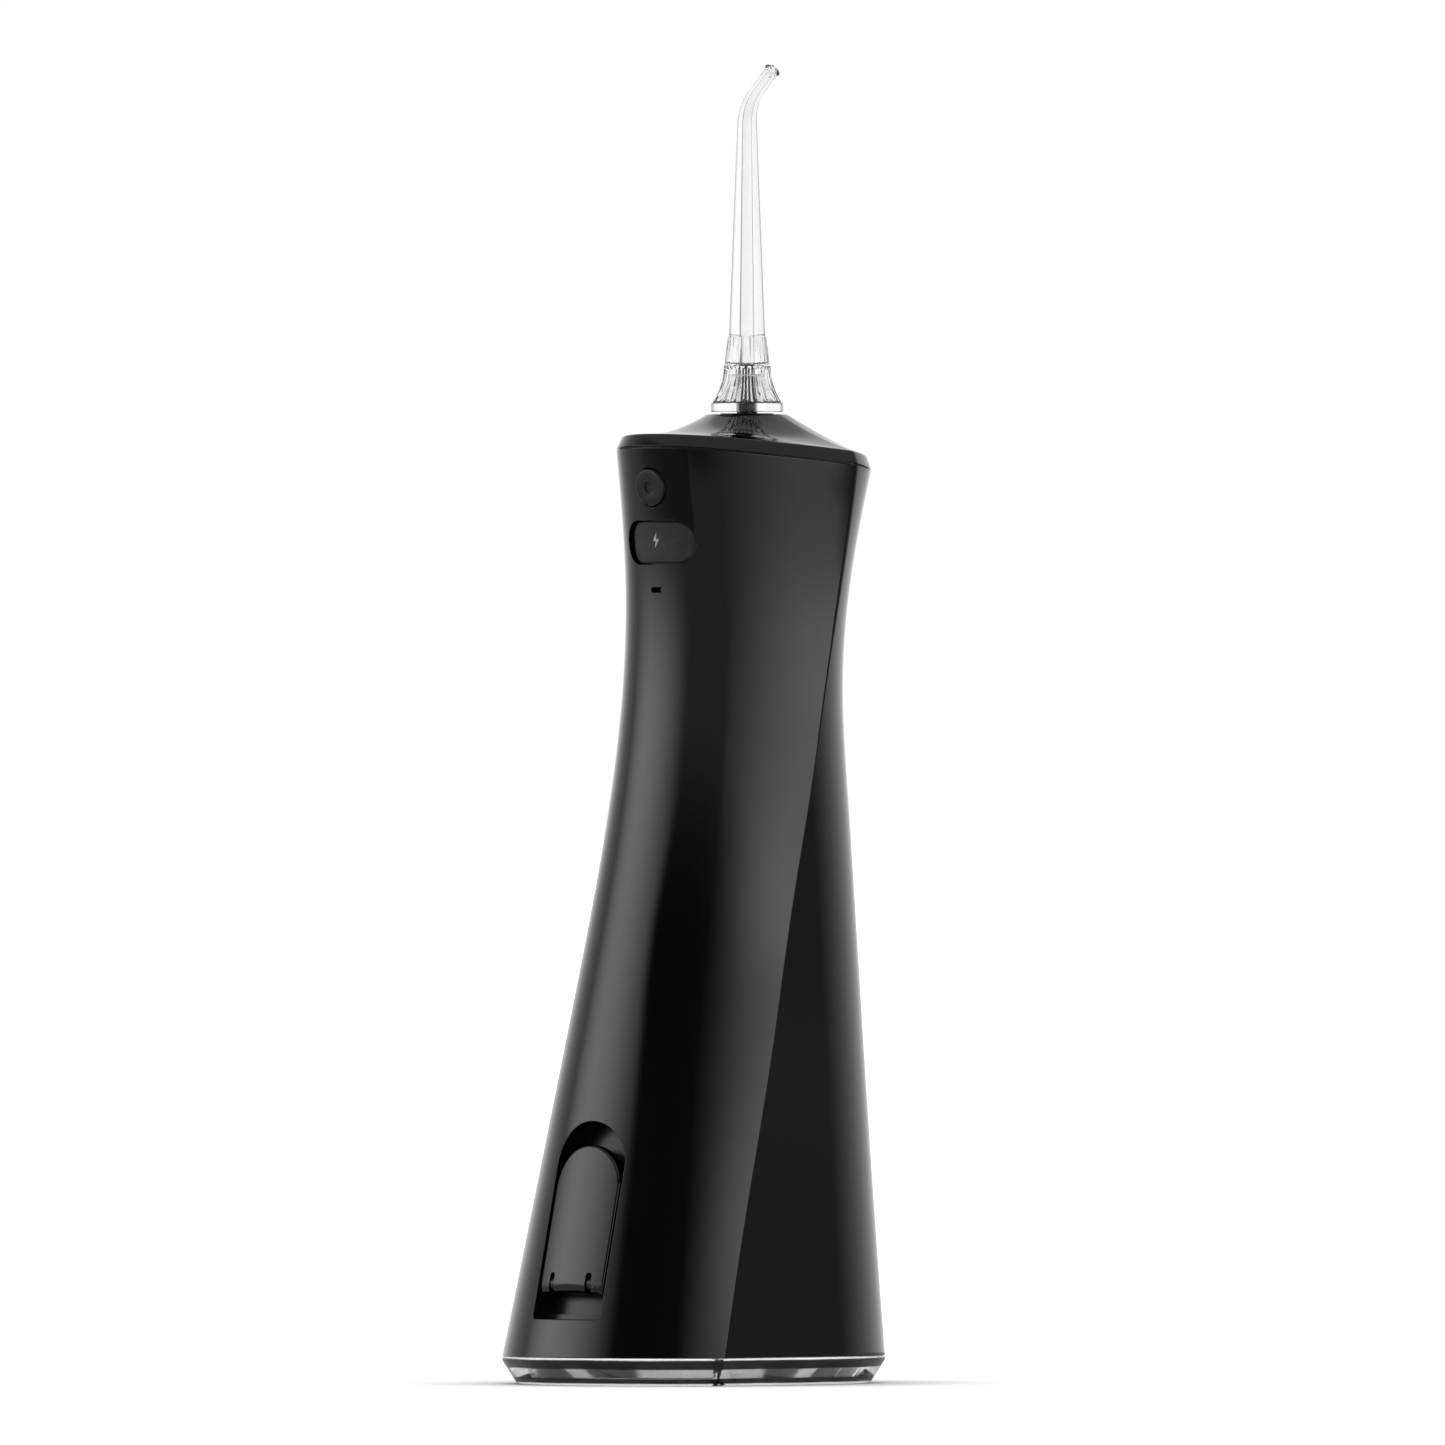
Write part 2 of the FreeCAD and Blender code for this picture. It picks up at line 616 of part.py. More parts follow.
def fill_door():
    """Flap that follows the housing, with its foot curled round the hinge pin."""
    plate = arch(FLAP_HALF_WIDTH, HINGE_Z, FLAP_ARCH_CENTRE).cut(body(FLAP_SINK + FLAP_THICKNESS))
    curl = hinge_cylinder(CURL_RADIUS, FLAP_HALF_WIDTH)
    curl = curl.common(box((-FLAP_HALF_WIDTH, HINGE_Y, 0), (FLAP_HALF_WIDTH, BACK_REACH, HINGE_Z + 0.5)))
    flap = plate.fuse(curl).fuse(hinge_cylinder(BARREL_RADIUS)).common(body(FLAP_SINK))
    half = LUG_HALF_WIDTH + FIT
    for x in (-LUG_X, LUG_X):
        slot = box((x - half, 0, DOOR_SILL), (x + half, BACK_REACH, SLOT_TOP - half))
        flap = flap.cut(slot).cut(cylinder(half, Vector(x, 0, SLOT_TOP - half), Y_AXIS, BACK_REACH))
    return flap.cut(hinge_cylinder(HINGE_PIN_RADIUS + 0.07))


def door_gasket():
    """Soft disc on the flap's back that closes the filler neck."""
    disc = cylinder(MOUTH_RADIUS + GASKET_OVERLAP, Vector(0, 30, MOUTH_Z), Y_AXIS, 40)
    return disc.common(body(FLAP_SINK + FLAP_THICKNESS)).cut(body(WELL_DEPTH - NECK_HEIGHT - FIT))


# --- Back and front controls -----------------------------------------------------

def release_button():
    """Round raised button with a rounded rim and a small flat dimple."""
    face = Vector(0, back_y(BUTTON_Z), BUTTON_Z) - BUTTON_IN * RELEASE_PROUD
    reach = RELEASE_PROUD + RELEASE_FLANGE_DEPTH
    head = cylinder(BUTTON_RADIUS, face, BUTTON_IN, reach + RELEASE_FLANGE_THICKNESS)
    head = round_rim(head, face, BUTTON_RADIUS, RIM_ROUNDING)
    dimple = cylinder(DIMPLE_RADIUS, face, BUTTON_IN, DIMPLE_DEPTH)
    flange_radius = BUTTON_RADIUS + RELEASE_FLANGE_WIDTH
    flange = cylinder(flange_radius, face + BUTTON_IN * reach, BUTTON_IN, RELEASE_FLANGE_THICKNESS)
    return head.fuse(flange).cut(dimple)


def latch_plate(button):
    """Sliding plate on the button, with a long hole that clears the nozzle's stem."""
    back = back_y(BUTTON_Z) - LATCH_BACK_GAP
    half = LATCH_HALF_WIDTH
    plate = box((-half, -half - 0.6, BUTTON_Z - 0.9), (half, back, BUTTON_Z + 0.5))
    slot = stadium_z(LATCH_SLOT_RADIUS, -1.2, 2.7, BUTTON_Z - 2, 4)
    window = stadium_z(LATCH_SLOT_RADIUS + 0.7, 11.0, 18.0, BUTTON_Z - 2, 4)
    return plate.cut(slot).cut(window).cut(button)


def stadium_z(radius, low_y, high_y, z, height):
    """Upright prism with rounded ends that runs along Y."""
    a, b = Vector(-radius, low_y, z), Vector(-radius, high_y, z)
    c, d = Vector(radius, high_y, z), Vector(radius, low_y, z)
    edges = [Part.LineSegment(a, b).toShape(), Part.Arc(b, Vector(0, high_y + radius, z), c).toShape(),
             Part.LineSegment(c, d).toShape(), Part.Arc(d, Vector(0, low_y - radius, z), a).toShape()]
    return Part.Face(Part.Wire(edges)).extrude(Vector(0, 0, height))


def charge_cover():
    """Soft cover of the charging port, following the back, cut short at the end that bends."""
    cover = stadium(COVER_WIDTH, COVER_HEIGHT, COVER_Z, 0, BACK_REACH)
    cover = cover.common(box((-COVER_WIDTH, 0, 0), (COVER_HINGE_END, BACK_REACH, CAP_TOP)))
    return cover.common(body(COVER_SINK)).cut(body(COVER_SINK + COVER_THICKNESS))


def charge_well():
    """Pocket behind the cover that carries the charging socket."""
    floor = COVER_SINK + COVER_THICKNESS + FIT
    width, height = COVER_WIDTH + COVER_GAP_WIDTH, COVER_HEIGHT + COVER_GAP_HEIGHT
    plate = stadium(width + 2.4, height + 2.4, COVER_Z, 0, BACK_REACH)
    plate = plate.common(body(WALL + 0.05)).cut(body(floor + POCKET_WALL))
    pocket = stadium(width, height, COVER_Z, 0, BACK_REACH).cut(body(floor))
    hole = stadium(SOCKET_WIDTH + 0.1, SOCKET_HEIGHT + 0.1, COVER_Z, 0, BACK_REACH)
    return plate.cut(pocket).cut(hole)


def charge_socket():
    """Metal shell of the charging socket with its tongue."""
    front = back_y(COVER_Z) - COVER_SINK - COVER_THICKNESS - 1.0
    shell = stadium(SOCKET_WIDTH, SOCKET_HEIGHT, COVER_Z, front - SOCKET_DEPTH, SOCKET_DEPTH)
    inner_width, inner_height = SOCKET_WIDTH - 2 * SOCKET_SHEET, SOCKET_HEIGHT - 2 * SOCKET_SHEET
    hollow = stadium(inner_width, inner_height, COVER_Z, front - SOCKET_DEPTH + 0.5, SOCKET_DEPTH)
    tongue_size = (2 * TONGUE_HALF_WIDTH, SOCKET_DEPTH - 1.6, 2 * SOCKET_SHEET)
    tongue = block(tongue_size, 0.0, front - SOCKET_DEPTH + 0.4, COVER_Z - SOCKET_SHEET)
    return shell.cut(hollow).fuse(tongue)


def charge_lens():
    """Small dark window of the charging light, deep in its slot."""
    lens = stadium(LENS_WIDTH, LENS_HEIGHT, LENS_Z, 0, BACK_REACH)
    return lens.common(body(LENS_SINK)).cut(body(LENS_DEPTH))


def flange_depth(radius):
    """Depth under the front at which a flat flange clears the wall's round inside."""
    return WALL + FIT + (radius + FLANGE_WIDTH) ** 2 / (2 * (SECTIONS[3].front_radius - WALL))


def push_button(z, radius):
    """Round front button with a dished face and a retaining flange inside the wall."""
    normal = front_normal(z)
    face = Vector(0, front_y(z), z) + normal * BUTTON_PROUD
    reach = BUTTON_PROUD + flange_depth(radius)
    head = cylinder(radius, face, normal * -1, reach + FLANGE_THICKNESS)
    head = round_rim(head, face, radius, RIM_ROUNDING)
    dish_depth = 0.25
    dish = Part.makeSphere(DISH_RADIUS, face + normal * (DISH_RADIUS - dish_depth))
    flange = cylinder(radius + FLANGE_WIDTH, face - normal * reach, normal * -1, FLANGE_THICKNESS)
    return head.fuse(flange).cut(dish)


def mode_lights():
    """Row of light guides for the modes, joined by a bar inside."""
    surface = front_y(LIGHTS_Z)
    bar = block(LIGHT_BAR, 0.0, surface + 3.4, LIGHTS_Z - LIGHT_BAR[2] / 2)
    for x in LIGHT_X:
        pin = cylinder(LIGHT_RADIUS - 0.05, Vector(x, surface - 5.0, LIGHTS_Z), Y_AXIS, 9.0)
        bar = bar.fuse(pin.common(body(0.15)))
    return bar


def control_board():
    """Circuit board behind the front buttons, with its chip and the battery's connector."""
    board = block(BOARD_SIZE, 0.0, BOARD_Y, BOARD_FOOT)
    chip = block(CHIP_SIZE, 0.0, BOARD_Y + BOARD_SIZE[1], CHIP_Z)
    plug = block(PLUG_SIZE, 0.0, BOARD_Y + BOARD_SIZE[1], PLUG_Z)
    return board.fuse(chip).fuse(plug)


def tact_switch(z, radius):
    """Switch on the board under a button, with a gap for the button's travel."""
    reach = front_y(z) + flange_depth(radius) + FLANGE_THICKNESS + PRESS_GAP
    case = block(SWITCH_SIZE, 0.0, BOARD_Y - SWITCH_SIZE[1], z - SWITCH_SIZE[2] / 2)
    return case.fuse(cylinder(SWITCH_PLUNGER_RADIUS, Vector(0, reach, z), Y_AXIS, BOARD_Y - reach))


# --- Inner frame, battery, motor and pump ----------------------------------------

def chassis():
    """Inner frame: floor over the reservoir, gear plate, pump shelf and stand-offs."""
    top = TANK_TOP + FLOOR_THICKNESS
    far = PLATE_X + PLATE_THICKNESS
    half = CHASSIS_HALF_DEPTH
    reach = MOTOR_PLATE_REACH
    shelf_top = PUMP_SHELF_Z + PUMP_SHELF_THICKNESS
    board_back = BOARD_Y + BOARD_SIZE[1]
    cell = Vector(0, BATTERY_Y, top)
    pieces = [
        tube(BATTERY_RADIUS + CRADLE_WALL, BATTERY_RADIUS + 0.05, cell, Z_AXIS, CRADLE_HEIGHT),
        box((PLATE_X, -half, top), (far, 5.0, shelf_top)),
        box((PLATE_X, -half, MOTOR_Z - reach), (far, MOTOR_Y + reach, MOTOR_Z + MOTOR_PLATE_TOP)),
        box((-half, -half, PUMP_SHELF_Z), (far, half, shelf_top)),
    ]
    for z in STAND_OFFS:
        pieces.append(box((PLATE_X, board_back, z), (far, -half, z + STAND_OFF_HEIGHT)))
    frame = body(WALL + TANK_GAP).common(slab(TANK_TOP, top))
    for piece in pieces:
        frame = frame.fuse(piece)
    holes = [
        through_hole(HOSE_RADIUS + 0.35, Vector(SUCTION_X, 0, top), Z_AXIS),
        through_hole(PUMP_RADIUS + 0.05, Vector(0, 0, shelf_top), Z_AXIS),
        through_hole(AXLE_RADIUS + 0.06, Vector(far, 0, GEAR_Z), X_AXIS),
        through_hole(MOTOR_BOSS_RADIUS + 0.05, Vector(far, MOTOR_Y, MOTOR_Z), X_AXIS),
    ]
    for hole in holes:
        frame = frame.cut(hole)
    return frame


def battery():
    """Round cell with its raised positive end."""
    start = Vector(0, BATTERY_Y, TANK_TOP + FLOOR_THICKNESS)
    cell = cylinder(BATTERY_RADIUS, start, Z_AXIS, BATTERY_LENGTH - BATTERY_TIP_LENGTH)
    shoulder = start + Vector(0, 0, BATTERY_LENGTH - BATTERY_TIP_LENGTH)
    cell = round_rim(cell, shoulder, BATTERY_RADIUS, 0.6)
    return cell.fuse(cylinder(BATTERY_TIP_RADIUS, start, Z_AXIS, BATTERY_LENGTH))


def motor():
    """Motor can with its front boss, rear bearing and two terminals."""
    rear = Vector(PLATE_X - MOTOR_LENGTH, MOTOR_Y, MOTOR_Z)
    front = rear + Vector(MOTOR_LENGTH, 0, 0)
    can = cylinder(MOTOR_RADIUS, rear, X_AXIS, MOTOR_LENGTH)
    can = round_rim(can, rear, MOTOR_RADIUS, 1.2)
    boss = cylinder(MOTOR_BOSS_RADIUS, front, X_AXIS, PLATE_THICKNESS)
    bearing = cylinder(MOTOR_BEARING_RADIUS, rear, X_AXIS * -1, MOTOR_BEARING_LENGTH)
    case = can.fuse(boss).fuse(bearing)
    tag_x, tag_foot = rear.x - TERMINAL_SIZE[0] / 2, MOTOR_Z - TERMINAL_SIZE[2] / 2
    for y in (-TERMINAL_Y, TERMINAL_Y):
        case = case.fuse(block(TERMINAL_SIZE, tag_x, MOTOR_Y + y, tag_foot))
    bore_start = front - X_AXIS * (SHAFT_ROOT + 0.5)
    return case.cut(cylinder(SHAFT_RADIUS + 0.05, bore_start, X_AXIS, MOTOR_LENGTH))


def gear(teeth, centre, width, first_tooth):
    """Spur gear about an axis along X with involute flanks."""
    pitch = GEAR_MODULE * teeth / 2
    base = pitch * math.cos(PRESSURE_ANGLE)
    root, tip = pitch - DEDENDUM * GEAR_MODULE, pitch + ADDENDUM * GEAR_MODULE
    start = max(base, root)
    half_at_pitch = math.pi / (2 * teeth) - BACKLASH / pitch
    involute = math.tan(PRESSURE_ANGLE) - PRESSURE_ANGLE
    flank = []
    for radius in [root] + [start + (tip - start) * i / 3 for i in range(4)]:
        pressure = math.acos(min(1.0, base / radius))
        flank.append((radius, half_at_pitch + involute - math.tan(pressure) + pressure))
    points = []
    for tooth in range(teeth):
        middle = math.radians(first_tooth) + 2 * math.pi * tooth / teeth
        points += [(radius, middle - half) for radius, half in flank]
        points += [(radius, middle + half) for radius, half in reversed(flank)]
    outline = [centre + Vector(0, r * math.cos(a), r * math.sin(a)) for r, a in points]
    return Part.Face(Part.makePolygon(outline + outline[:1])).extrude(Vector(width, 0, 0))


def crank_gear():
    """Large gear, lightened by round holes in its web."""
    centre = Vector(GEAR_X, 0, GEAR_Z)
    wheel = gear(GEAR_TEETH, centre, GEAR_WIDTH, MESH_ANGLE)
    wheel = wheel.cut(cylinder(AXLE_RADIUS, centre, X_AXIS, GEAR_WIDTH))
    for i in range(GEAR_HOLES):
        angle = 2 * math.pi * i / GEAR_HOLES
        out = Vector(0, math.cos(angle), math.sin(angle)) * GEAR_HOLE_CIRCLE
        wheel = wheel.cut(cylinder(GEAR_HOLE_RADIUS, centre + out, X_AXIS, GEAR_WIDTH))
    return wheel


def gear_axle():
    """Steel axle that joins the gear and the crank disc."""
    return cylinder(AXLE_RADIUS, Vector(CRANK_X, 0, GEAR_Z), X_AXIS, GEAR_X + GEAR_WIDTH + AXLE_END - CRANK_X)


def crank():
    """Crank disc with its pin, which stops short of the rod's eye."""
    centre = Vector(CRANK_X, 0, GEAR_Z)
    disc = cylinder(CRANK_DISC_RADIUS, centre, X_AXIS, CRANK_DISC_THICKNESS)
    disc = disc.cut(cylinder(AXLE_RADIUS, centre, X_AXIS, CRANK_DISC_THICKNESS))
    start = ROD_HALF_WIDTH + FIT
    pin = cylinder(CRANK_PIN_RADIUS, Vector(start, 0, GEAR_Z + CRANK_RADIUS), X_AXIS, CRANK_X - start + 0.5)
    return disc.fuse(pin)


def pinion():
    """Small brass gear on the motor's shaft."""
    centre = Vector(GEAR_X, MOTOR_Y, MOTOR_Z)
    wheel = gear(PINION_TEETH, centre, GEAR_WIDTH, MESH_ANGLE + 180.0 + 180.0 / PINION_TEETH)
    return wheel.cut(cylinder(SHAFT_RADIUS, centre, X_AXIS, GEAR_WIDTH))


def motor_shaft():
    """Steel shaft of the motor."""
    start = PLATE_X - SHAFT_ROOT
    length = GEAR_X + GEAR_WIDTH + SHAFT_END - start
    return cylinder(SHAFT_RADIUS, Vector(start, MOTOR_Y, MOTOR_Z), X_AXIS, length)


def connecting_rod():
    """Rod from the crank to the plunger, with an eye at each end."""
    low = WRIST_Z - ROD_LENGTH
    width = 2 * ROD_HALF_WIDTH
    big, small = Vector(-ROD_HALF_WIDTH, 0, low), Vector(-ROD_HALF_WIDTH, 0, WRIST_Z)
    rod = cylinder(BIG_EYE_RADIUS, big, X_AXIS, width).fuse(cylinder(SMALL_EYE_RADIUS, small, X_AXIS, width))
    rod = rod.fuse(block((width, 2 * ROD_HALF_DEPTH, ROD_LENGTH), 0.0, -ROD_HALF_DEPTH, low))
    rod = rod.cut(cylinder(CRANK_PIN_RADIUS + 0.1, big, X_AXIS, width))
    return rod.cut(cylinder(WRIST_PIN_RADIUS + 0.06, small, X_AXIS, width))


def plunger():
    """Pump plunger with a forked foot and a seal groove near its head."""
    stem = cylinder(PLUNGER_RADIUS, Vector(0, 0, WRIST_Z - PLUNGER_SKIRT), Z_AXIS, PLUNGER_LENGTH)
    half = ROD_HALF_WIDTH + FIT
    slot = box((-half, -5, WRIST_Z - 4.0), (half, 5, WRIST_Z + 2.6))
    groove = tube(5.0, PLUNGER_RADIUS - SEAL_DEPTH, Vector(0, 0, WRIST_Z + SEAL_Z), Z_AXIS, SEAL_WIDTH + 0.1)
    return stem.cut(slot).cut(groove).cut(through_hole(WRIST_PIN_RADIUS, Vector(0, 0, WRIST_Z), X_AXIS))


def plunger_seal():
    """Rubber ring in the plunger's groove."""
    foot = Vector(0, 0, WRIST_Z + SEAL_Z + 0.05)
    return tube(PLUNGER_RADIUS + 0.03, PLUNGER_RADIUS - SEAL_DEPTH, foot, Z_AXIS, SEAL_WIDTH)


def wrist_pin():
    """Pin that joins the rod to the plunger."""
    return cylinder(WRIST_PIN_RADIUS, Vector(-WRIST_PIN_LENGTH / 2, 0, WRIST_Z), X_AXIS, WRIST_PIN_LENGTH)


def pump_body():
    """Pump cylinder with its flange, inlet branch and outlet cup."""
    foot, head = Vector(0, 0, PUMP_FOOT), Vector(0, 0, PUMP_HEAD - 0.5)
    flange = Vector(0, 0, PUMP_SHELF_Z + PUMP_SHELF_THICKNESS)
    inlet = Vector(INLET_X, 0, INLET_Z)
    solid = cylinder(PUMP_RADIUS, foot, Z_AXIS, PUMP_HEAD - PUMP_FOOT)
    solid = solid.fuse(cylinder(PUMP_FLANGE_RADIUS, flange, Z_AXIS, 1.4))
    solid = solid.fuse(cylinder(CUP_RADIUS, head, Z_AXIS, CUP_TOP - head.z))
    solid = solid.fuse(cylinder(INLET_RADIUS, inlet, X_AXIS, 8.0))
    holes = [
        cylinder(PLUNGER_RADIUS + 0.06, foot, Z_AXIS, PUMP_CHAMBER),
        cylinder(PUMP_OUTLET_RADIUS, foot, Z_AXIS, CUP_TOP - PUMP_FOOT),
        cylinder(STEM_RADIUS + CUP_GAP, Vector(0, 0, STEM_FOOT - 0.4), Z_AXIS, 5.0),
        cylinder(HOSE_RADIUS + 0.05, inlet, X_AXIS, HOSE_START_X - INLET_X),
        cylinder(HOSE_BORE_RADIUS, inlet, X_AXIS, -INLET_X),
    ]
    for hole in holes:
        solid = solid.cut(hole)
    return solid


def suction_tube():
    """Hose from the pump down to the floor of the reservoir."""
    start = Vector(HOSE_START_X, 0, INLET_Z)
    corner = Vector(SUCTION_X + HOSE_BEND, 0, INLET_Z)
    side = Vector(SUCTION_X, 0, INLET_Z - HOSE_BEND)
    inwards = HOSE_BEND * (1 - math.sqrt(0.5))
    middle = Vector(SUCTION_X + inwards, 0, INLET_Z - inwards)
    foot = Vector(SUCTION_X, 0, TANK_FOOT + TANK_WALL + 1.0)
    runs = [Part.LineSegment(start, corner), Part.Arc(corner, middle, side), Part.LineSegment(side, foot)]
    path = Part.Wire([run.toShape() for run in runs])
    sides = []
    for radius in (HOSE_RADIUS, HOSE_BORE_RADIUS):
        end = Part.Wire(Part.Circle(start, X_AXIS, radius).toShape())
        sides.append(path.makePipeShell([end], True, False))
    return sides[0].cut(sides[1])


def suction_filter():
    """Slotted filter on the hose's foot."""
    foot = TANK_FOOT + TANK_WALL
    cage = tube(FILTER_RADIUS, HOSE_RADIUS + 0.05, Vector(SUCTION_X, 0, foot), Z_AXIS, FILTER_HEIGHT)
    for i in range(FILTER_SLOTS):
        slot = box((1.0, -0.4, foot), (5.0, 0.4, foot + FILTER_HEIGHT - 2.0))
        slot.rotate(Vector(), Z_AXIS, 360 / FILTER_SLOTS * (i + 0.5))
        slot.translate(Vector(SUCTION_X, 0, 0))
        cage = cage.cut(slot)
    return cage


# --- Nozzle ------------------------------------------------------------------------

def nozzle_seat():
    """Rotating bush in the cap that takes the nozzle's stem."""
    bore = STEM_RADIUS + 0.1
    flange_top = SEAT_FLANGE_Z + SEAT_FLANGE_THICKNESS
    edge = SEAT_FLANGE_RADIUS
    return turned([(bore, SEAT_FLANGE_Z), (edge, SEAT_FLANGE_Z), (edge, flange_top),
                   (SEAT_RADIUS, flange_top), (SEAT_RADIUS, SEAT_TOP), (bore, SEAT_TOP)])


def nozzle_core():
    """Black stem: a tube down into the pump's cup and a slim core in the grip."""
    bore = STEM_BORE_RADIUS
    stem = turned([(bore, STEM_FOOT), (STEM_RADIUS, STEM_FOOT), (STEM_RADIUS, RING_FOOT),
                   (CORE_FOOT_RADIUS, RING_FOOT), (CORE_FOOT_RADIUS, RING_TOP), (CORE_TOP_RADIUS, CORE_TOP),
                   (bore, CORE_TOP)])
    half = STEM_SEAL_SECTION / 2 + 0.02
    groove_foot = Vector(0, 0, STEM_SEAL_Z - half)
    groove = tube(STEM_RADIUS + 1.0, STEM_SEAL_RADIUS - half, groove_foot, Z_AXIS, 2 * half)
    return stem.cut(groove)


def stem_seal():
    """Rubber ring in the stem's groove that seals it in the pump's cup."""
    return torus(STEM_SEAL_SECTION / 2, STEM_SEAL_RADIUS, STEM_SEAL_Z)


def nozzle_ring():
    """Plain clear collar under the ribbed grip."""
    foot = Vector(0, 0, RING_FOOT)
    return tube(RING_RADIUS, CORE_FOOT_RADIUS + 0.02, foot, Z_AXIS, RING_TOP - RING_FOOT)


def grip_side(inset):
    """Concave side of the grip as an edge from its foot to its top, moved inwards."""
    points = [Vector(radius - inset, 0, z) for radius, z in GRIP_SIDE]
    return Part.Arc(*points).toShape()


def tube_path(radii):
    """Tapering round rod up the nozzle's axis, round its bend and out to its end."""
    foot_radius, neck_radius, end_radius = radii
    straight = Part.makeCone(foot_radius, neck_radius, BEND_FOOT - GRIP_TOP, Vector(0, 0, GRIP_TOP), Z_AXIS)
    wires = []
    steps = 5
    for i in range(steps + 1):
        angle = math.radians(BEND_ANGLE) * i / steps
        centre = Vector(0, -BEND_RADIUS * (1 - math.cos(angle)), BEND_FOOT + BEND_RADIUS * math.sin(angle))
        axis = Vector(0, -math.sin(angle), math.cos(angle))
        radius = neck_radius + (end_radius - neck_radius) * i / steps
        wires.append(Part.Wire(Part.Circle(centre, axis, radius).toShape()))
    bend = Part.makeLoft(wires, True, False)
    end = Part.makeCylinder(end_radius, TUBE_END_LENGTH, centre, axis)
    return straight.fuse(bend).fuse(end), centre, axis


def grip_groove():
    """One groove between two ribs of the grip, half a pitch wide."""
    side, inner = grip_side(0.0), grip_side(RIB_DEPTH)
    ends = []
    for outer_end, inner_end in zip(side.Vertexes, inner.Vertexes):
        ends.append(Part.LineSegment(outer_end.Point, inner_end.Point).toShape())
    strip = Part.Face(Part.Wire(Part.__sortEdges__([side, inner] + ends)))
    return strip.revolve(Vector(), Z_AXIS, 180.0 / GRIP_RIBS)


def nozzle():
    """Clear moulding: ribbed grip, tapering tube and bent tip with a fine rim."""
    foot = Part.LineSegment(Vector(0, 0, RING_TOP), Vector(GRIP_SIDE[0][0], 0, RING_TOP)).toShape()
    corners = [GRIP_SIDE[-1]] + GRIP_SHOULDER + [(0.0, GRIP_TOP), (0.0, RING_TOP)]
    rest = Part.makePolygon([Vector(radius, 0, z) for radius, z in corners])
    grip = Part.Face(Part.Wire([foot, grip_side(0.0)] + rest.Edges)).revolve(Vector(), Z_AXIS, 360)
    rod, centre, axis = tube_path(TUBE_RADII)
    end_radius = TUBE_RADII[-1]
    rim_foot = centre + axis * (TUBE_END_LENGTH - TIP_RIM_LENGTH)
    rim = Part.makeCone(end_radius, end_radius + TIP_RIM, TIP_RIM_LENGTH, rim_foot, axis)
    solid = grip.fuse(rod).fuse(rim)
    for i in range(GRIP_RIBS):
        groove = grip_groove()
        groove.rotate(Vector(), Z_AXIS, 360.0 / GRIP_RIBS * i)
        solid = solid.cut(groove)
    bore = tube_path(BORE_RADII)[0]
    low_bore = cylinder(BORE_RADII[0], Vector(0, 0, RING_TOP), Z_AXIS, GRIP_TOP - RING_TOP)
    core = turned([(0, RING_TOP), (CORE_FOOT_RADIUS + 0.02, RING_TOP), (CORE_TOP_RADIUS + 0.02, CORE_TOP),
                   (0, CORE_TOP)])
    return solid.cut(bore).cut(low_bore).cut(core)


release = release_button()
nodes = {
    "outer_casing": outer_casing(body(0.0), body(WALL)),
    "top_cap": top_cap(),
    "cap_seal": cap_seal(),
    "clear_base": clear_base(),
    "tank": tank(body(WALL + TANK_GAP)),
    "door_well": door_well(),
    "door_pin": door_pin(),
    "fill_door": fill_door(),
    "door_gasket": door_gasket(),
    "release_button": release,
    "latch_plate": latch_plate(release),
    "charge_cover": charge_cover(),
    "charge_well": charge_well(),
    "charge_socket": charge_socket(),
    "charge_lens": charge_lens(),
    "power_button": push_button(POWER_Z, POWER_RADIUS),
    "mode_button": push_button(MODE_Z, MODE_RADIUS),
    "mode_lights": mode_lights(),
    "control_board": control_board(),
    "power_switch": tact_switch(POWER_Z, POWER_RADIUS),
    "mode_switch": tact_switch(MODE_Z, MODE_RADIUS),
    "chassis": chassis(),
    "battery": battery(),
    "motor": motor(),
    "motor_shaft": motor_shaft(),
    "pinion": pinion(),
    "crank_gear": crank_gear(),
    "gear_axle": gear_axle(),
    "crank": crank(),
    "connecting_rod": connecting_rod(),
    "wrist_pin": wrist_pin(),
    "plunger": plunger(),
    "plunger_seal": plunger_seal(),
    "pump_body": pump_body(),
    "suction_tube": suction_tube(),
    "suction_filter": suction_filter(),
    "nozzle_seat": nozzle_seat(),
    "nozzle_core": nozzle_core(),
    "stem_seal": stem_seal(),
    "nozzle_ring": nozzle_ring(),
    "nozzle": nozzle(),
}

for name, shape in nodes.items():
    print(name, len(shape.Solids), shape.isValid(), round(shape.Volume, 1))
    shape.exportStep("parts/" + name + ".step")
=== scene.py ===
"""Cordless water flosser: fine surfaces, finishes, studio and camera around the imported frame."""

import logging
import math
from dataclasses import dataclass, field
from enum import Enum

import bmesh
import bpy
import numpy as np
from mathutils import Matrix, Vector


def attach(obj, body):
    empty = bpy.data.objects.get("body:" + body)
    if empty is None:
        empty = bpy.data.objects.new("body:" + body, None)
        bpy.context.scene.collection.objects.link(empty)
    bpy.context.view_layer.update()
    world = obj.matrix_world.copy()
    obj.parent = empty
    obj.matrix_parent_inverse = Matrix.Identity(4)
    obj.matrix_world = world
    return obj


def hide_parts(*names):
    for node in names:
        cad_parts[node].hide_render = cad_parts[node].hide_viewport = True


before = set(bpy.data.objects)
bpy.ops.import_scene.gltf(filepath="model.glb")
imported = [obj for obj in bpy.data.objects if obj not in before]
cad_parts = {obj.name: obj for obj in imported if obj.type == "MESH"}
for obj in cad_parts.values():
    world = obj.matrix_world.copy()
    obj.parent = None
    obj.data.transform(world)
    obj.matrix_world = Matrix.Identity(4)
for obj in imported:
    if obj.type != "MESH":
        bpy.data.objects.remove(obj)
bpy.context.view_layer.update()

log = logging.getLogger("flosser")

MM = 0.001
Array = np.ndarray
Colour = tuple[float, float, float, float]
Triples = list[tuple[float, float, float]]
Columns = tuple[Array, Array, Array]
Surface = tuple[Array, list[Array]]

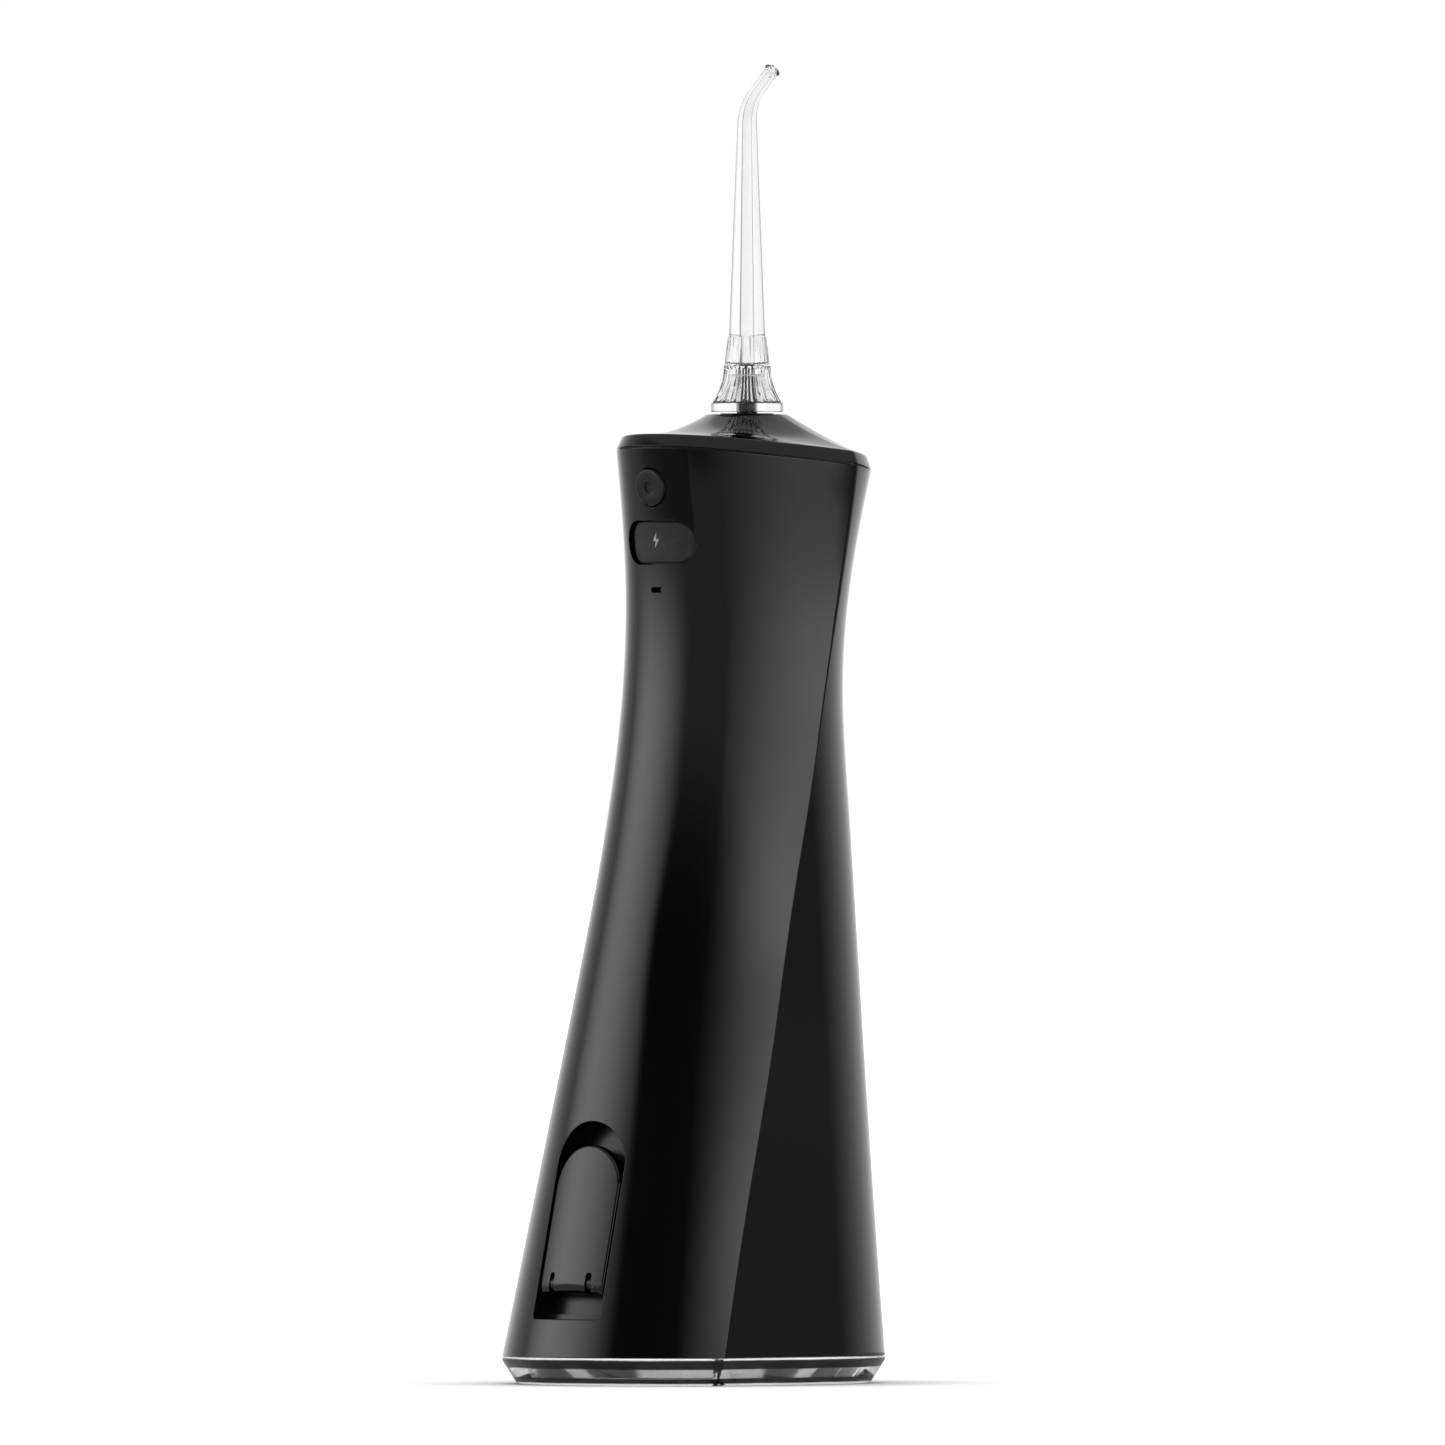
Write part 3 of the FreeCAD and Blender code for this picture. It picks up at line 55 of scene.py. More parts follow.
OUTLINE_STEP = 0.35 * MM
NEARLY_ROUND = 0.999
LONGEST_CUT = 0.45
QUARTER = np.radians([0, 18, 36, 54, 72, 90])


# --- The housing's form --------------------------------------------------------------


class Side(Enum):
    """The two faces of the housing that carry controls."""

    BACK = 1
    FRONT = -1


@dataclass
class Stations:
    """Cross-sections of the housing from its foot to above its shoulder, in millimetres.

    Each runs from the middle of the back over a large arc, then over a side arc down to a
    crease, along a flat side facet, and round a front arc.
    """

    height: tuple[float, ...] = (6.0, 40.0, 84.0, 128.0, 155.0, 176.0, 206.0)
    back_radius: tuple[float, ...] = (38.2, 33.6, 27.7, 24.2, 22.9, 22.3, 22.0)
    back_centre: tuple[float, ...] = (22.45, 19.2, 15.0, 8.6, 6.2, 6.4, 9.8)
    front_radius: tuple[float, ...] = (33.5, 31.8, 29.8, 28.4, 29.5, 31.2, 31.9)
    front_centre: tuple[float, ...] = (4.5, 5.6, 6.8, 8.8, 12.1, 12.2, 5.0)
    facet_angle: tuple[float, ...] = (90.0, 90.0, 90.0, 90.0, 105.5, 113.5, 105.7)
    facet: tuple[float, ...] = (37.4, 27.2, 14.0, 1.0, 0.0, 0.0, 0.0)
    crease_radius: tuple[float, ...] = (0.7, 0.7, 0.7, 0.9, 1.4, 2.2, 3.2)


@dataclass
class Outline:
    """Arcs of the outline at an array of heights, moved inwards by an inset, in metres."""

    back_radius: Array
    back_centre: Array
    front_radius: Array
    front_centre: Array
    facet_angle: Array
    side_end: Array
    side_radius: Array
    side_x: Array
    side_y: Array
    crease_x: Array
    crease_y: Array
    rounding: Array


@dataclass
class HousingForm:
    """The waisted, creased form that every outer piece of the housing follows."""

    stations: Stations = field(default_factory=Stations)
    back_end: float = math.radians(46.0)

    def __post_init__(self) -> None:
        """Solve the natural splines through the stations once."""
        self.places = np.array(self.stations.height) * MM
        self.curves = {}
        for name in ("back_radius", "back_centre", "front_radius", "front_centre", "facet", "crease_radius"):
            self.curves[name] = self._spline(np.array(getattr(self.stations, name)) * MM)
        self.curves["facet_angle"] = self._spline(np.radians(np.array(self.stations.facet_angle)))

    def _spline(self, values: Array) -> tuple[Array, Array]:
        """Second derivatives of the natural cubic through values at the stations.

        Args:
            values: one value per station.

        Returns:
            The values and their second derivatives.
        """
        count = len(values)
        steps = np.diff(self.places)
        slopes = np.diff(values) / steps
        matrix = np.eye(count)
        right = np.zeros(count)
        for i in range(1, count - 1):
            matrix[i, i - 1:i + 2] = steps[i - 1], 2 * (steps[i - 1] + steps[i]), steps[i]
            right[i] = 6 * (slopes[i] - slopes[i - 1])
        return values, np.linalg.solve(matrix, right)

    def _value(self, name: str, z: Array) -> Array:
        """Value of one driving curve at the heights z."""
        values, bends = self.curves[name]
        i = np.clip(np.searchsorted(self.places, z, side="right") - 1, 0, len(self.places) - 2)
        step = self.places[i + 1] - self.places[i]
        t = z - self.places[i]
        start = (values[i + 1] - values[i]) / step - step * (2 * bends[i] + bends[i + 1]) / 6
        return values[i] + t * start + t * t * bends[i] / 2 + t ** 3 * (bends[i + 1] - bends[i]) / (6 * step)

    def outline(self, z: Array, inset: Array | float = 0.0) -> Outline:
        """Arcs and corners of the outline at heights z, moved inwards by inset.

        The crease corner moves so that it stays inset away from both faces that meet there.

        Args:
            z: heights in metres.
            inset: how far inwards, in metres.

        Returns:
            The outline's arcs, as arrays like z.
        """
        z = np.asarray(z, float)
        radius, centre = self._value("back_radius", z), self._value("back_centre", z)
        front_radius, front_centre = self._value("front_radius", z), self._value("front_centre", z)
        angle = self._value("facet_angle", z)
        facet = np.maximum(self._value("facet", z), 0.0)
        out_x, out_y = math.sin(self.back_end), math.cos(self.back_end)
        side_x, side_y = radius * out_x, centre + radius * out_y
        facet_x, facet_y = np.sin(angle), np.cos(angle)
        crease_x = front_radius * facet_x - facet * facet_y
        crease_y = front_centre + front_radius * facet_y + facet * facet_x
        chord = np.arctan2(side_y - crease_y, crease_x - side_x)
        side_end = 2 * chord - self.back_end
        reach = np.hypot(crease_x - side_x, crease_y - side_y)
        side_radius = reach / (2 * np.sin(chord - self.back_end))
        end_x, end_y = np.sin(side_end), np.cos(side_end)
        turn = end_x * facet_y - end_y * facet_x
        return Outline(
            back_radius=radius - inset, back_centre=centre,
            front_radius=front_radius - inset, front_centre=front_centre,
            facet_angle=angle, side_end=side_end, side_radius=side_radius - inset,
            side_x=side_x - side_radius * out_x, side_y=side_y - side_radius * out_y,
            crease_x=crease_x - inset * (facet_y - end_y) / turn,
            crease_y=crease_y - inset * (end_x - facet_x) / turn,
            rounding=self._value("crease_radius", z))

    def columns(self, back: int, crease: int, front: int) -> Columns:
        """Columns once round the housing.

        Args:
            back: columns from the middle of the back to the crease.
            crease: columns over the crease's rounding.
            front: columns from the crease to the middle of the front.

        Returns:
            Zone (0 back, 1 crease, 2 front), share along the zone, and the side (+1 or -1).
        """
        zone = np.repeat([0, 1, 2], [back, crease, front])
        share = np.concatenate([np.arange(back) / back, np.arange(crease) / crease,
                                1 - np.arange(front) / front])
        end = (np.array([2]), np.array([0.0]))
        right = (np.concatenate([zone, end[0]]), np.concatenate([share, end[1]]))
        left = (right[0][-2:0:-1], right[1][-2:0:-1])
        side = np.concatenate([np.ones(len(right[0])), -np.ones(len(left[0]))])
        return np.concatenate([right[0], left[0]]), np.concatenate([right[1], left[1]]), side

    def points(self, columns: Columns, z: Array, inset: Array | float = 0.0) -> Array:
        """Points of the outline: the sharp outline moved in by its crease's rounding and out again.

        Args:
            columns: zone, share and side of each column.
            z: heights, shaped to broadcast with the columns on the last axis.
            inset: how far inwards, shaped to broadcast likewise.

        Returns:
            Points with the coordinates on the last axis.
        """
        zone, share, side = columns
        z = np.broadcast_to(z, np.broadcast_shapes(np.shape(z), np.shape(inset), share.shape)).astype(float)
        rounding = self._value("crease_radius", z)
        sharp = self.outline(z, inset + rounding)
        arc = sharp.back_radius * self.back_end
        side_arc = np.maximum(sharp.side_radius, 1e-6) * (sharp.side_end - self.back_end)
        run = share * (arc + side_arc)
        on_side = run > arc
        angle = np.where(on_side, self.back_end + (run - arc) / np.maximum(sharp.side_radius, 1e-6),
                         run / sharp.back_radius)
        x = np.where(on_side, sharp.side_x + sharp.side_radius * np.sin(angle),
                     sharp.back_radius * np.sin(angle))
        y = np.where(on_side, sharp.side_y + sharp.side_radius * np.cos(angle),
                     sharp.back_centre + sharp.back_radius * np.cos(angle))
        sweep = sharp.side_end + share * (sharp.facet_angle - sharp.side_end)
        facet_x, facet_y = np.sin(sharp.facet_angle), np.cos(sharp.facet_angle)
        start_x = sharp.front_radius * facet_x
        start_y = sharp.front_centre + sharp.front_radius * facet_y
        facet = (sharp.crease_x - start_x) * -facet_y + (sharp.crease_y - start_y) * facet_x
        front_arc = sharp.front_radius * (math.pi - sharp.facet_angle)
        front_run = share * (front_arc + facet)
        on_arc = front_run <= front_arc
        front_angle = np.where(on_arc, math.pi - front_run / sharp.front_radius, sharp.facet_angle)
        rest = np.where(on_arc, 0.0, front_run - front_arc)
        front_x = sharp.front_radius * np.sin(front_angle) - rest * facet_y
        front_y = sharp.front_centre + sharp.front_radius * np.cos(front_angle) + rest * facet_x
        x = np.select([zone == 0, zone == 1], [x, sharp.crease_x], front_x)
        y = np.select([zone == 0, zone == 1], [y, sharp.crease_y], front_y)
        angle = np.select([zone == 0, zone == 1], [angle, sweep], front_angle)
        x = x + rounding * np.sin(angle)
        y = y + rounding * np.cos(angle)
        return np.stack([x * side, y, z], axis=-1)

    def slanted(self, columns: Columns, height: float, slope: float, inset: float) -> Array:
        """Points of the outline where the plane z = height + slope * y cuts the form.

        Args:
            columns: zone, share and side of each column.
            height: the plane's height on the nozzle's axis.
            slope: the plane's rise towards the back.
            inset: how far inwards.

        Returns:
            One point per column.
        """
        z = np.array(height)
        for _ in range(6):
            points = self.points(columns, z, inset)
            z = height + slope * points[..., 1]
        return np.stack([points[..., 0], points[..., 1], z], axis=-1)

    def _distance(self, x: Array, y: Array, z: Array) -> tuple[Array, Array]:
        """Distance from the rounded outline in its own plane, and the outline's normal angle."""
        sharp = self.outline(z)
        rounding = sharp.rounding
        inner = self.outline(z, rounding)
        back = np.arctan2(x, y - sharp.back_centre)
        side = np.arctan2(x - sharp.side_x, y - sharp.side_y)
        crease = np.arctan2(x - inner.crease_x, y - inner.crease_y)
        front = np.arctan2(x, y - sharp.front_centre)
        facet_x, facet_y = np.sin(sharp.facet_angle), np.cos(sharp.facet_angle)
        cases = [back <= self.back_end, side <= sharp.side_end, crease <= sharp.facet_angle,
                 front <= sharp.facet_angle]
        distance = np.select(cases, [
            np.hypot(x, y - sharp.back_centre) - sharp.back_radius,
            np.hypot(x - sharp.side_x, y - sharp.side_y) - sharp.side_radius,
            np.hypot(x - inner.crease_x, y - inner.crease_y) - rounding,
            (x - sharp.crease_x) * facet_x + (y - sharp.crease_y) * facet_y,
        ], np.hypot(x, y - sharp.front_centre) - sharp.front_radius)
        return distance, np.select(cases, [back, side, crease, sharp.facet_angle], front)

    def normals(self, points: Array) -> tuple[Array, Array]:
        """Outward normals of the form at points on or near it.

        Args:
            points: N by 3 places.

        Returns:
            Unit normals, and each point's distance from the form in its own plane.
        """
        step = 0.05 * MM
        x, y, z = np.abs(points[:, 0]), points[:, 1], points[:, 2]
        distance, angle = self._distance(x, y, z)
        rise = (self._distance(x, y, z + step)[0] - self._distance(x, y, z - step)[0]) / (2 * step)
        normals = np.stack([np.sin(angle) * np.where(points[:, 0] < 0, -1, 1), np.cos(angle), rise], axis=1)
        return normals / np.linalg.norm(normals, axis=1, keepdims=True), distance

    def face_y(self, side: Side, x: Array, z: Array, inset: Array | float = 0.0) -> Array:
        """Y of the back or front arc at places x, z, moved inwards by inset."""
        outline = self.outline(z, inset)
        if side is Side.BACK:
            return outline.back_centre + np.sqrt(outline.back_radius ** 2 - x ** 2)
        return outline.front_centre - np.sqrt(outline.front_radius ** 2 - x ** 2)


FORM = HousingForm()


# --- Meshes from grids ------------------------------------------------------------------


def grid_faces(rows: int, columns: int, wrap_rows: bool) -> Array:
    """Quads of a grid of points numbered row by row, whose last column joins the first.

    Args:
        rows: number of rows.
        columns: number of columns.
        wrap_rows: whether the last row joins the first.

    Returns:
        Faces as an N by 4 array of point numbers.
    """
    i = np.arange(rows if wrap_rows else rows - 1)[:, None]
    j = np.arange(columns)[None, :]
    k, m = (i + 1) % rows, (j + 1) % columns
    quads = np.stack([i * columns + j, i * columns + m, k * columns + m, k * columns + j], axis=-1)
    return quads.reshape(-1, 4)


def make_mesh(name: str, points: Array, faces: list[Array], sharp: float = 40.0) -> bpy.types.Object:
    """Object from points and faces, merged, facing outwards and smooth up to a corner angle.

    Args:
        name: the piece's name.
        points: places of the vertices, in metres.
        faces: arrays of faces, each with one corner count.
        sharp: the corner angle in degrees above which an edge stays sharp.

    Returns:
        The object, linked to the scene.
    """
    mesh = bpy.data.meshes.new(name)
    mesh.from_pydata(points.reshape(-1, 3).tolist(), [], [f for block in faces for f in block.tolist()])
    finish_mesh(mesh, sharp)
    piece = bpy.data.objects.new(name, mesh)
    bpy.context.scene.collection.objects.link(piece)
    return piece


def finish_mesh(mesh: bpy.types.Mesh, sharp: float = 40.0) -> None:
    """Merge doubled points, turn the faces outwards and shade smooth between sharp corners.

    Args:
        mesh: the mesh to finish.
        sharp: the corner angle in degrees above which an edge stays sharp.
    """
    work = bmesh.new()
    work.from_mesh(mesh)
    bmesh.ops.remove_doubles(work, verts=work.verts, dist=1e-6)
    bmesh.ops.dissolve_degenerate(work, edges=work.edges, dist=1e-7)
    bmesh.ops.recalc_face_normals(work, faces=work.faces)
    work.to_mesh(mesh)
    work.free()
    mesh.shade_smooth()
    mesh.set_sharp_from_angle(angle=math.radians(sharp))


def looped(grid: Array) -> Surface:
    """Points and quads of a grid whose rows and columns both close on themselves."""
    return grid.reshape(-1, 3), [grid_faces(*grid.shape[:2], True)]


def capped(grid: Array) -> Surface:
    """Close a stack of rings with a pole at the middle of its first and last ring.

    Args:
        grid: K by C by 3 points.

    Returns:
        Points and faces.
    """
    rows, count = grid.shape[:2]
    points = np.concatenate([grid.reshape(-1, 3), grid[:1].mean(axis=1), grid[-1:].mean(axis=1)])
    i = np.arange(count)
    j = (i + 1) % count
    last = (rows - 1) * count
    low = np.stack([np.full(count, rows * count), j, i], axis=-1)
    high = np.stack([np.full(count, rows * count + 1), last + i, last + j], axis=-1)
    return points, [grid_faces(rows, count, False), low, high]


def turned_grid(profile: Array, origin: Vector, axis: Vector, segments: int) -> Array:
    """Grid of a profile turned about an axis.

    A point at radius r and height h stands at origin + h * axis + r * (cos t * u + sin t * v).

    Args:
        profile: N by 2 radii and heights along the axis.
        origin: the axis's foot.
        axis: the axis's direction.
        segments: points once round.

    Returns:
        Grid of points, one row per profile point.
    """
    axis = Vector(axis).normalized()
    u = axis.orthogonal().normalized()
    v = axis.cross(u)
    t = np.linspace(0, 2 * math.pi, segments, endpoint=False)
    ring = np.cos(t)[:, None] * np.array(u) + np.sin(t)[:, None] * np.array(v)
    radius, height = profile[:, 0], profile[:, 1]
    return np.array(origin) + height[:, None, None] * np.array(axis) + radius[:, None, None] * ring


def rounded(corners: Triples, steps: int = 5) -> Array:
    """Open profile through corners, each rounded by its own radius.

    Args:
        corners: radius, height and rounding of each corner, in metres.
        steps: points over each rounding.

    Returns:
        N by 2 profile points.
    """
    places = np.array([c[:2] for c in corners])
    path = [places[0]]
    for i in range(1, len(places) - 1):
        size = corners[i][2]
        if size <= 0:
            path.append(places[i])
            continue
        before, after = places[i - 1] - places[i], places[i + 1] - places[i]
        before, after = before / np.linalg.norm(before), after / np.linalg.norm(after)
        half = math.acos(np.clip(before @ after, -1, 1)) / 2
        cut = size / math.tan(half)
        t = np.linspace(0, 1, steps)[:, None]
        start, end = places[i] + before * cut, places[i] + after * cut
        path.extend((1 - t) ** 2 * start + 2 * t * (1 - t) * places[i] + t ** 2 * end)
    path.append(places[-1])
    return np.array(path)


# --- Flat outlines on the housing's back and front ----------------------------------------


@dataclass
class Patch:
    """A closed outline in X and Z on one face of the housing, with its outward normals."""

    x: Array
    z: Array
    out_x: Array
    out_z: Array
    side: Side = Side.BACK

    def layer(self, grow: float, inset: float, shrink: float = 1.0) -> Array:
        """One ring of the outline, grown in its plane and laid at a depth under the face.

        Args:
            grow: how far the outline is moved outwards.
            inset: depth under the housing's face, negative above it.
            shrink: scale towards the outline's middle.

        Returns:
            The ring's points.
        """
        x, z = self.x + self.out_x * grow, self.z + self.out_z * grow
        middle_x, middle_z = self.x.mean(), (self.z.max() + self.z.min()) / 2
        x, z = middle_x + (x - middle_x) * shrink, middle_z + (z - middle_z) * shrink
        return np.stack([x, FORM.face_y(self.side, x, z, inset), z], axis=-1)

    def closed(self, layers: Triples) -> Surface:
        """Closed surface through the layers, from a small first ring to a small last ring.

        Args:
            layers: grow, inset and shrink of each ring.

        Returns:
            Points and faces.
        """
        return capped(np.stack([self.layer(*layer) for layer in layers]))


def outline_patch(corners: Triples, side: Side = Side.BACK, step: float = OUTLINE_STEP) -> Patch:
    """Patch from a closed polygon with rounded corners, its points about a step apart.

    Args:
        corners: x, z and corner radius, anticlockwise seen along -Y.
        side: the housing's face.
        step: distance between neighbouring points.

    Returns:
        The patch.
    """
    places = np.array([c[:2] for c in corners])
    size = np.array([c[2] for c in corners])
    count = len(places)
    x, z, out_x, out_z = [], [], [], []
    ends = []
    for i in range(count):
        before = places[i - 1] - places[i]
        after = places[(i + 1) % count] - places[i]
        before, after = before / np.linalg.norm(before), after / np.linalg.norm(after)
        half = math.acos(np.clip(before @ after, -1, 1)) / 2
        cut = size[i] / math.tan(half)
        centre = places[i] + (before + after) / np.linalg.norm(before + after) * size[i] / math.sin(half)
        ends.append((places[i] + before * cut, places[i] + after * cut, centre, math.pi - 2 * half))
    for i in range(count):
        start, end, centre, turn = ends[i]
        number = max(2, int(round(size[i] * turn / step)) + 1)
        first = math.atan2(*(start - centre)[::-1])
        angle = first + np.linspace(0, turn, number)
        x.append(centre[0] + size[i] * np.cos(angle))
        z.append(centre[1] + size[i] * np.sin(angle))
        out_x.append(np.cos(angle))
        out_z.append(np.sin(angle))
        following = ends[(i + 1) % count][0]
        length = np.linalg.norm(following - end)
        inner = max(0, int(length / (2 * step)) - 1)
        t = (np.arange(inner) + 1) / (inner + 1)
        x.append(end[0] + (following[0] - end[0]) * t)
        z.append(end[1] + (following[1] - end[1]) * t)
        out_x.append(np.full(inner, out_x[-1][-1]))
        out_z.append(np.full(inner, out_z[-1][-1]))
    return Patch(*(np.concatenate(v) for v in (x, z, out_x, out_z)), side)


def arch_patch(half_width: float, foot: float, centre: float, corner: float) -> Patch:
    """Upright arch with rounded foot corners, anticlockwise in X and Z."""
    top = centre + half_width
    round_off = half_width * NEARLY_ROUND
    return outline_patch([(half_width, foot, corner), (half_width, top, round_off),
                          (-half_width, top, round_off), (-half_width, foot, corner)], step=0.6 * MM)


def stadium_patch(width: float, height: float, z: float, side: Side = Side.BACK,
                  step: float = OUTLINE_STEP) -> Patch:
    """Lying outline with round ends, anticlockwise in X and Z."""
    half, radius = width / 2, height / 2 * NEARLY_ROUND
    return outline_patch([(half, z - height / 2, radius), (half, z + height / 2, radius),
                          (-half, z + height / 2, radius), (-half, z - height / 2, radius)], side, step)


def circle_patch(x: float, z: float, radius: float, side: Side, segments: int = 72) -> Patch:
    """Round outline on a face of the housing."""
    t = np.linspace(0, 2 * math.pi, segments, endpoint=False)
    return Patch(x + radius * np.cos(t), z + radius * np.sin(t), np.cos(t), np.sin(t), side)


# --- Shader graphs --------------------------------------------------------------------


class Graph:
    """A material or world's node tree, built by naming nodes and their inputs."""

    def __init__(self, owner: bpy.types.Material | bpy.types.World | bpy.types.Light) -> None:
        """Start from an empty tree.

        Args:
            owner: the data block whose nodes are made.
        """
        owner.use_nodes = True
        self.tree = owner.node_tree
        self.tree.nodes.clear()

    def node(self, kind: str, settings: dict | None = None, **inputs: object) -> bpy.types.Node:
        """Add a node.

        Args:
            kind: the node's type without its ShaderNode prefix.
            settings: the node's own properties.
            inputs: values or sockets by input name, spaces written as underscores, or by number as i0, i1.

        Returns:
            The node.
        """
        node = self.tree.nodes.new("ShaderNode" + kind)
        for name, value in (settings or {}).items():
            setattr(node, name, value)
        for name, value in inputs.items():
            key = int(name[1:]) if name[0] == "i" and name[1:].isdigit() else name.replace("_", " ")
            if isinstance(value, bpy.types.NodeSocket):
                self.tree.links.new(value, node.inputs[key])
            else:
                node.inputs[key].default_value = value
        return node

    def math(self, operation: str, a: object, b: object = 0.0) -> bpy.types.NodeSocket:
        """One arithmetic step on two values or sockets."""
        return self.node("Math", {"operation": operation}, i0=a, i1=b).outputs[0]

    def ramp(self, value: object, low: float, high: float, out_low: float = 0.0,
             out_high: float = 1.0) -> bpy.types.NodeSocket:
        """Smooth step of a value between two limits onto an output range."""
        node = self.node("MapRange", {"interpolation_type": "SMOOTHSTEP"}, Value=value,
                         From_Min=low, From_Max=high, To_Min=out_low, To_Max=out_high)
        return node.outputs["Result"]

    def mix(self, share: object, a: object, b: object) -> bpy.types.NodeSocket:
        """Mix two colours."""
        node = self.node("Mix", {"data_type": "RGBA"}, i0=share, i6=a, i7=b)
        return node.outputs[2]

    def place(self, scale: tuple[float, float, float] = (1, 1, 1),
              rotation: tuple[float, float, float] = (0, 0, 0)) -> bpy.types.NodeSocket:
        """Object coordinates, scaled and turned."""
        source = self.node("TexCoord").outputs["Object"]
        return self.node("Mapping", Vector=source, Scale=scale, Rotation=rotation).outputs[0]

    def noise(self, where: bpy.types.NodeSocket, scale: float, detail: float = 3.0,
              rough: float = 0.5) -> bpy.types.NodeSocket:
        """Fractal noise with features about 1 / scale metres apart."""
        return self.node("TexNoise", Vector=where, Scale=scale, Detail=detail, Roughness=rough).outputs[0]

    def bump(self, height: bpy.types.NodeSocket, depth: float, before: object = None) -> bpy.types.NodeSocket:
        """Bumped normal from a 0 to 1 height and its depth in metres."""
        node = self.node("Bump", Height=height, Strength=1.0, Distance=depth)
        if before is not None:
            self.tree.links.new(before, node.inputs["Normal"])
        return node.outputs[0]

    def finish(self, shader: bpy.types.Node) -> None:
        """Join a surface shader to the output."""
        self.node("OutputMaterial", Surface=shader.outputs[0])

    def principled(self, colour: object, rough: object, normal: object, **constants: float) -> None:
        """Join the standard surface shader to the output.

        Args:
            colour: base colour.
            rough: roughness.
            normal: bumped normal.
            constants: what is the same all over, set on the shader's own sockets.
        """
        self.finish(self.node("BsdfPrincipled", Base_Color=colour, Roughness=rough, Normal=normal,
                              **constants))


def grey(value: float) -> Colour:
    """Neutral colour."""
    return value, value, value, 1.0


def tinted(colour: Colour, factor: float, lift: float = 0.0) -> Colour:
    """A colour scaled and lifted, no brighter than white."""
    return tuple(min(1.0, c * factor + lift) for c in colour[:3]) + (1.0,)


@dataclass(frozen=True)
class Finish:
    """A named finish, which carries the name of one material slot of the record."""

    name: str
    slot: str

    def material(self) -> bpy.types.Material:
        """The finish's material, made once, under a name that the frame's own materials don't use."""
        name = "fine_" + self.name
        found = bpy.data.materials.get(name)
        if found is None:
            found = bpy.data.materials.new(name)
            self.build(Graph(found))
        return found

    def build(self, graph: Graph) -> None:
        """Fill the material's node tree."""
        raise NotImplementedError

    def dress(self, piece: bpy.types.Object) -> bpy.types.Object:
        """Put the finish on a piece.

        Args:
            piece: the object to dress.

        Returns:
            The same object.
        """
        piece.data.materials.clear()
        piece.data.materials.append(self.material())
        return piece


@dataclass(frozen=True)
class GlossPlastic(Finish):
    """Polished moulded plastic with faint flow waves, orange peel and hairline wiping marks."""

    colour: Colour = (0.0020, 0.0020, 0.0022, 1.0)
    roughness: float = 0.045
    wave: float = 0.9e-6

    def build(self, graph: Graph) -> None:
        """Colour clouds, hairlines in the roughness, and two scales of surface wave."""
        where = graph.place()
        clouds = graph.noise(where, 35.0, 2.0)
        hair = graph.noise(graph.place((1.0, 1.0, 0.06), (0.25, 0.15, 0.0)), 2600.0, 2.0, 0.6)
        smears = graph.noise(graph.place((1.0, 1.0, 0.5)), 60.0, 4.0, 0.6)
        rough = graph.math("ADD", graph.ramp(hair, 0.62, 0.78, self.roughness, self.roughness * 1.9),
                           graph.ramp(smears, 0.5, 0.8, 0.0, 0.035))
        dark = tinted(self.colour, 0.8)
        colour = graph.mix(clouds, self.colour, dark)
        peel = graph.bump(graph.noise(where, 420.0, 2.0), self.wave)
        sink = graph.bump(graph.noise(where, 28.0, 1.0), self.wave * 14, peel)
        graph.principled(colour, rough, sink, IOR=1.5)


@dataclass(frozen=True)
class SatinPlastic(Finish):
    """Moulded plastic with a fine spark-eroded grain."""

    colour: Colour = grey(0.012)
    roughness: float = 0.36
    grain: float = 6e-6

    def build(self, graph: Graph) -> None:
        """Grain as fine bump, its peaks a little glossier and paler."""
        where = graph.place()
        grain = graph.noise(where, 5200.0, 2.0, 0.65)
        clouds = graph.noise(where, 90.0, 3.0)
        pale = tinted(self.colour, 1.12, 0.001)
        dark = tinted(self.colour, 0.9)
        colour = graph.mix(graph.ramp(clouds, 0.35, 0.65), dark, pale)
        rough = graph.ramp(grain, 0.3, 0.7, self.roughness * 1.15, self.roughness * 0.85)
        graph.principled(colour, rough, graph.bump(grain, self.grain), IOR=1.49)


@dataclass(frozen=True)
class RubberFinish(Finish):
    """Soft rubber or silicone: matt, with a dusty bloom and a fine matt grain."""

    colour: Colour = grey(0.02)
    roughness: float = 0.6

    def build(self, graph: Graph) -> None:
        """Bloom in clouds over the colour, grain in roughness and bump."""
        where = graph.place()
        bloom = graph.noise(where, 240.0, 4.0, 0.6)
        grain = graph.noise(where, 7000.0, 2.0)
        pale = tinted(self.colour, 1.3, 0.006)
        colour = graph.mix(graph.ramp(bloom, 0.45, 0.75), self.colour, pale)
        rough = graph.ramp(grain, 0.3, 0.7, self.roughness - 0.08, self.roughness + 0.08)
        graph.principled(colour, rough, graph.bump(grain, 5e-6), IOR=1.45, Sheen_Weight=0.06,
                         Sheen_Roughness=0.5)


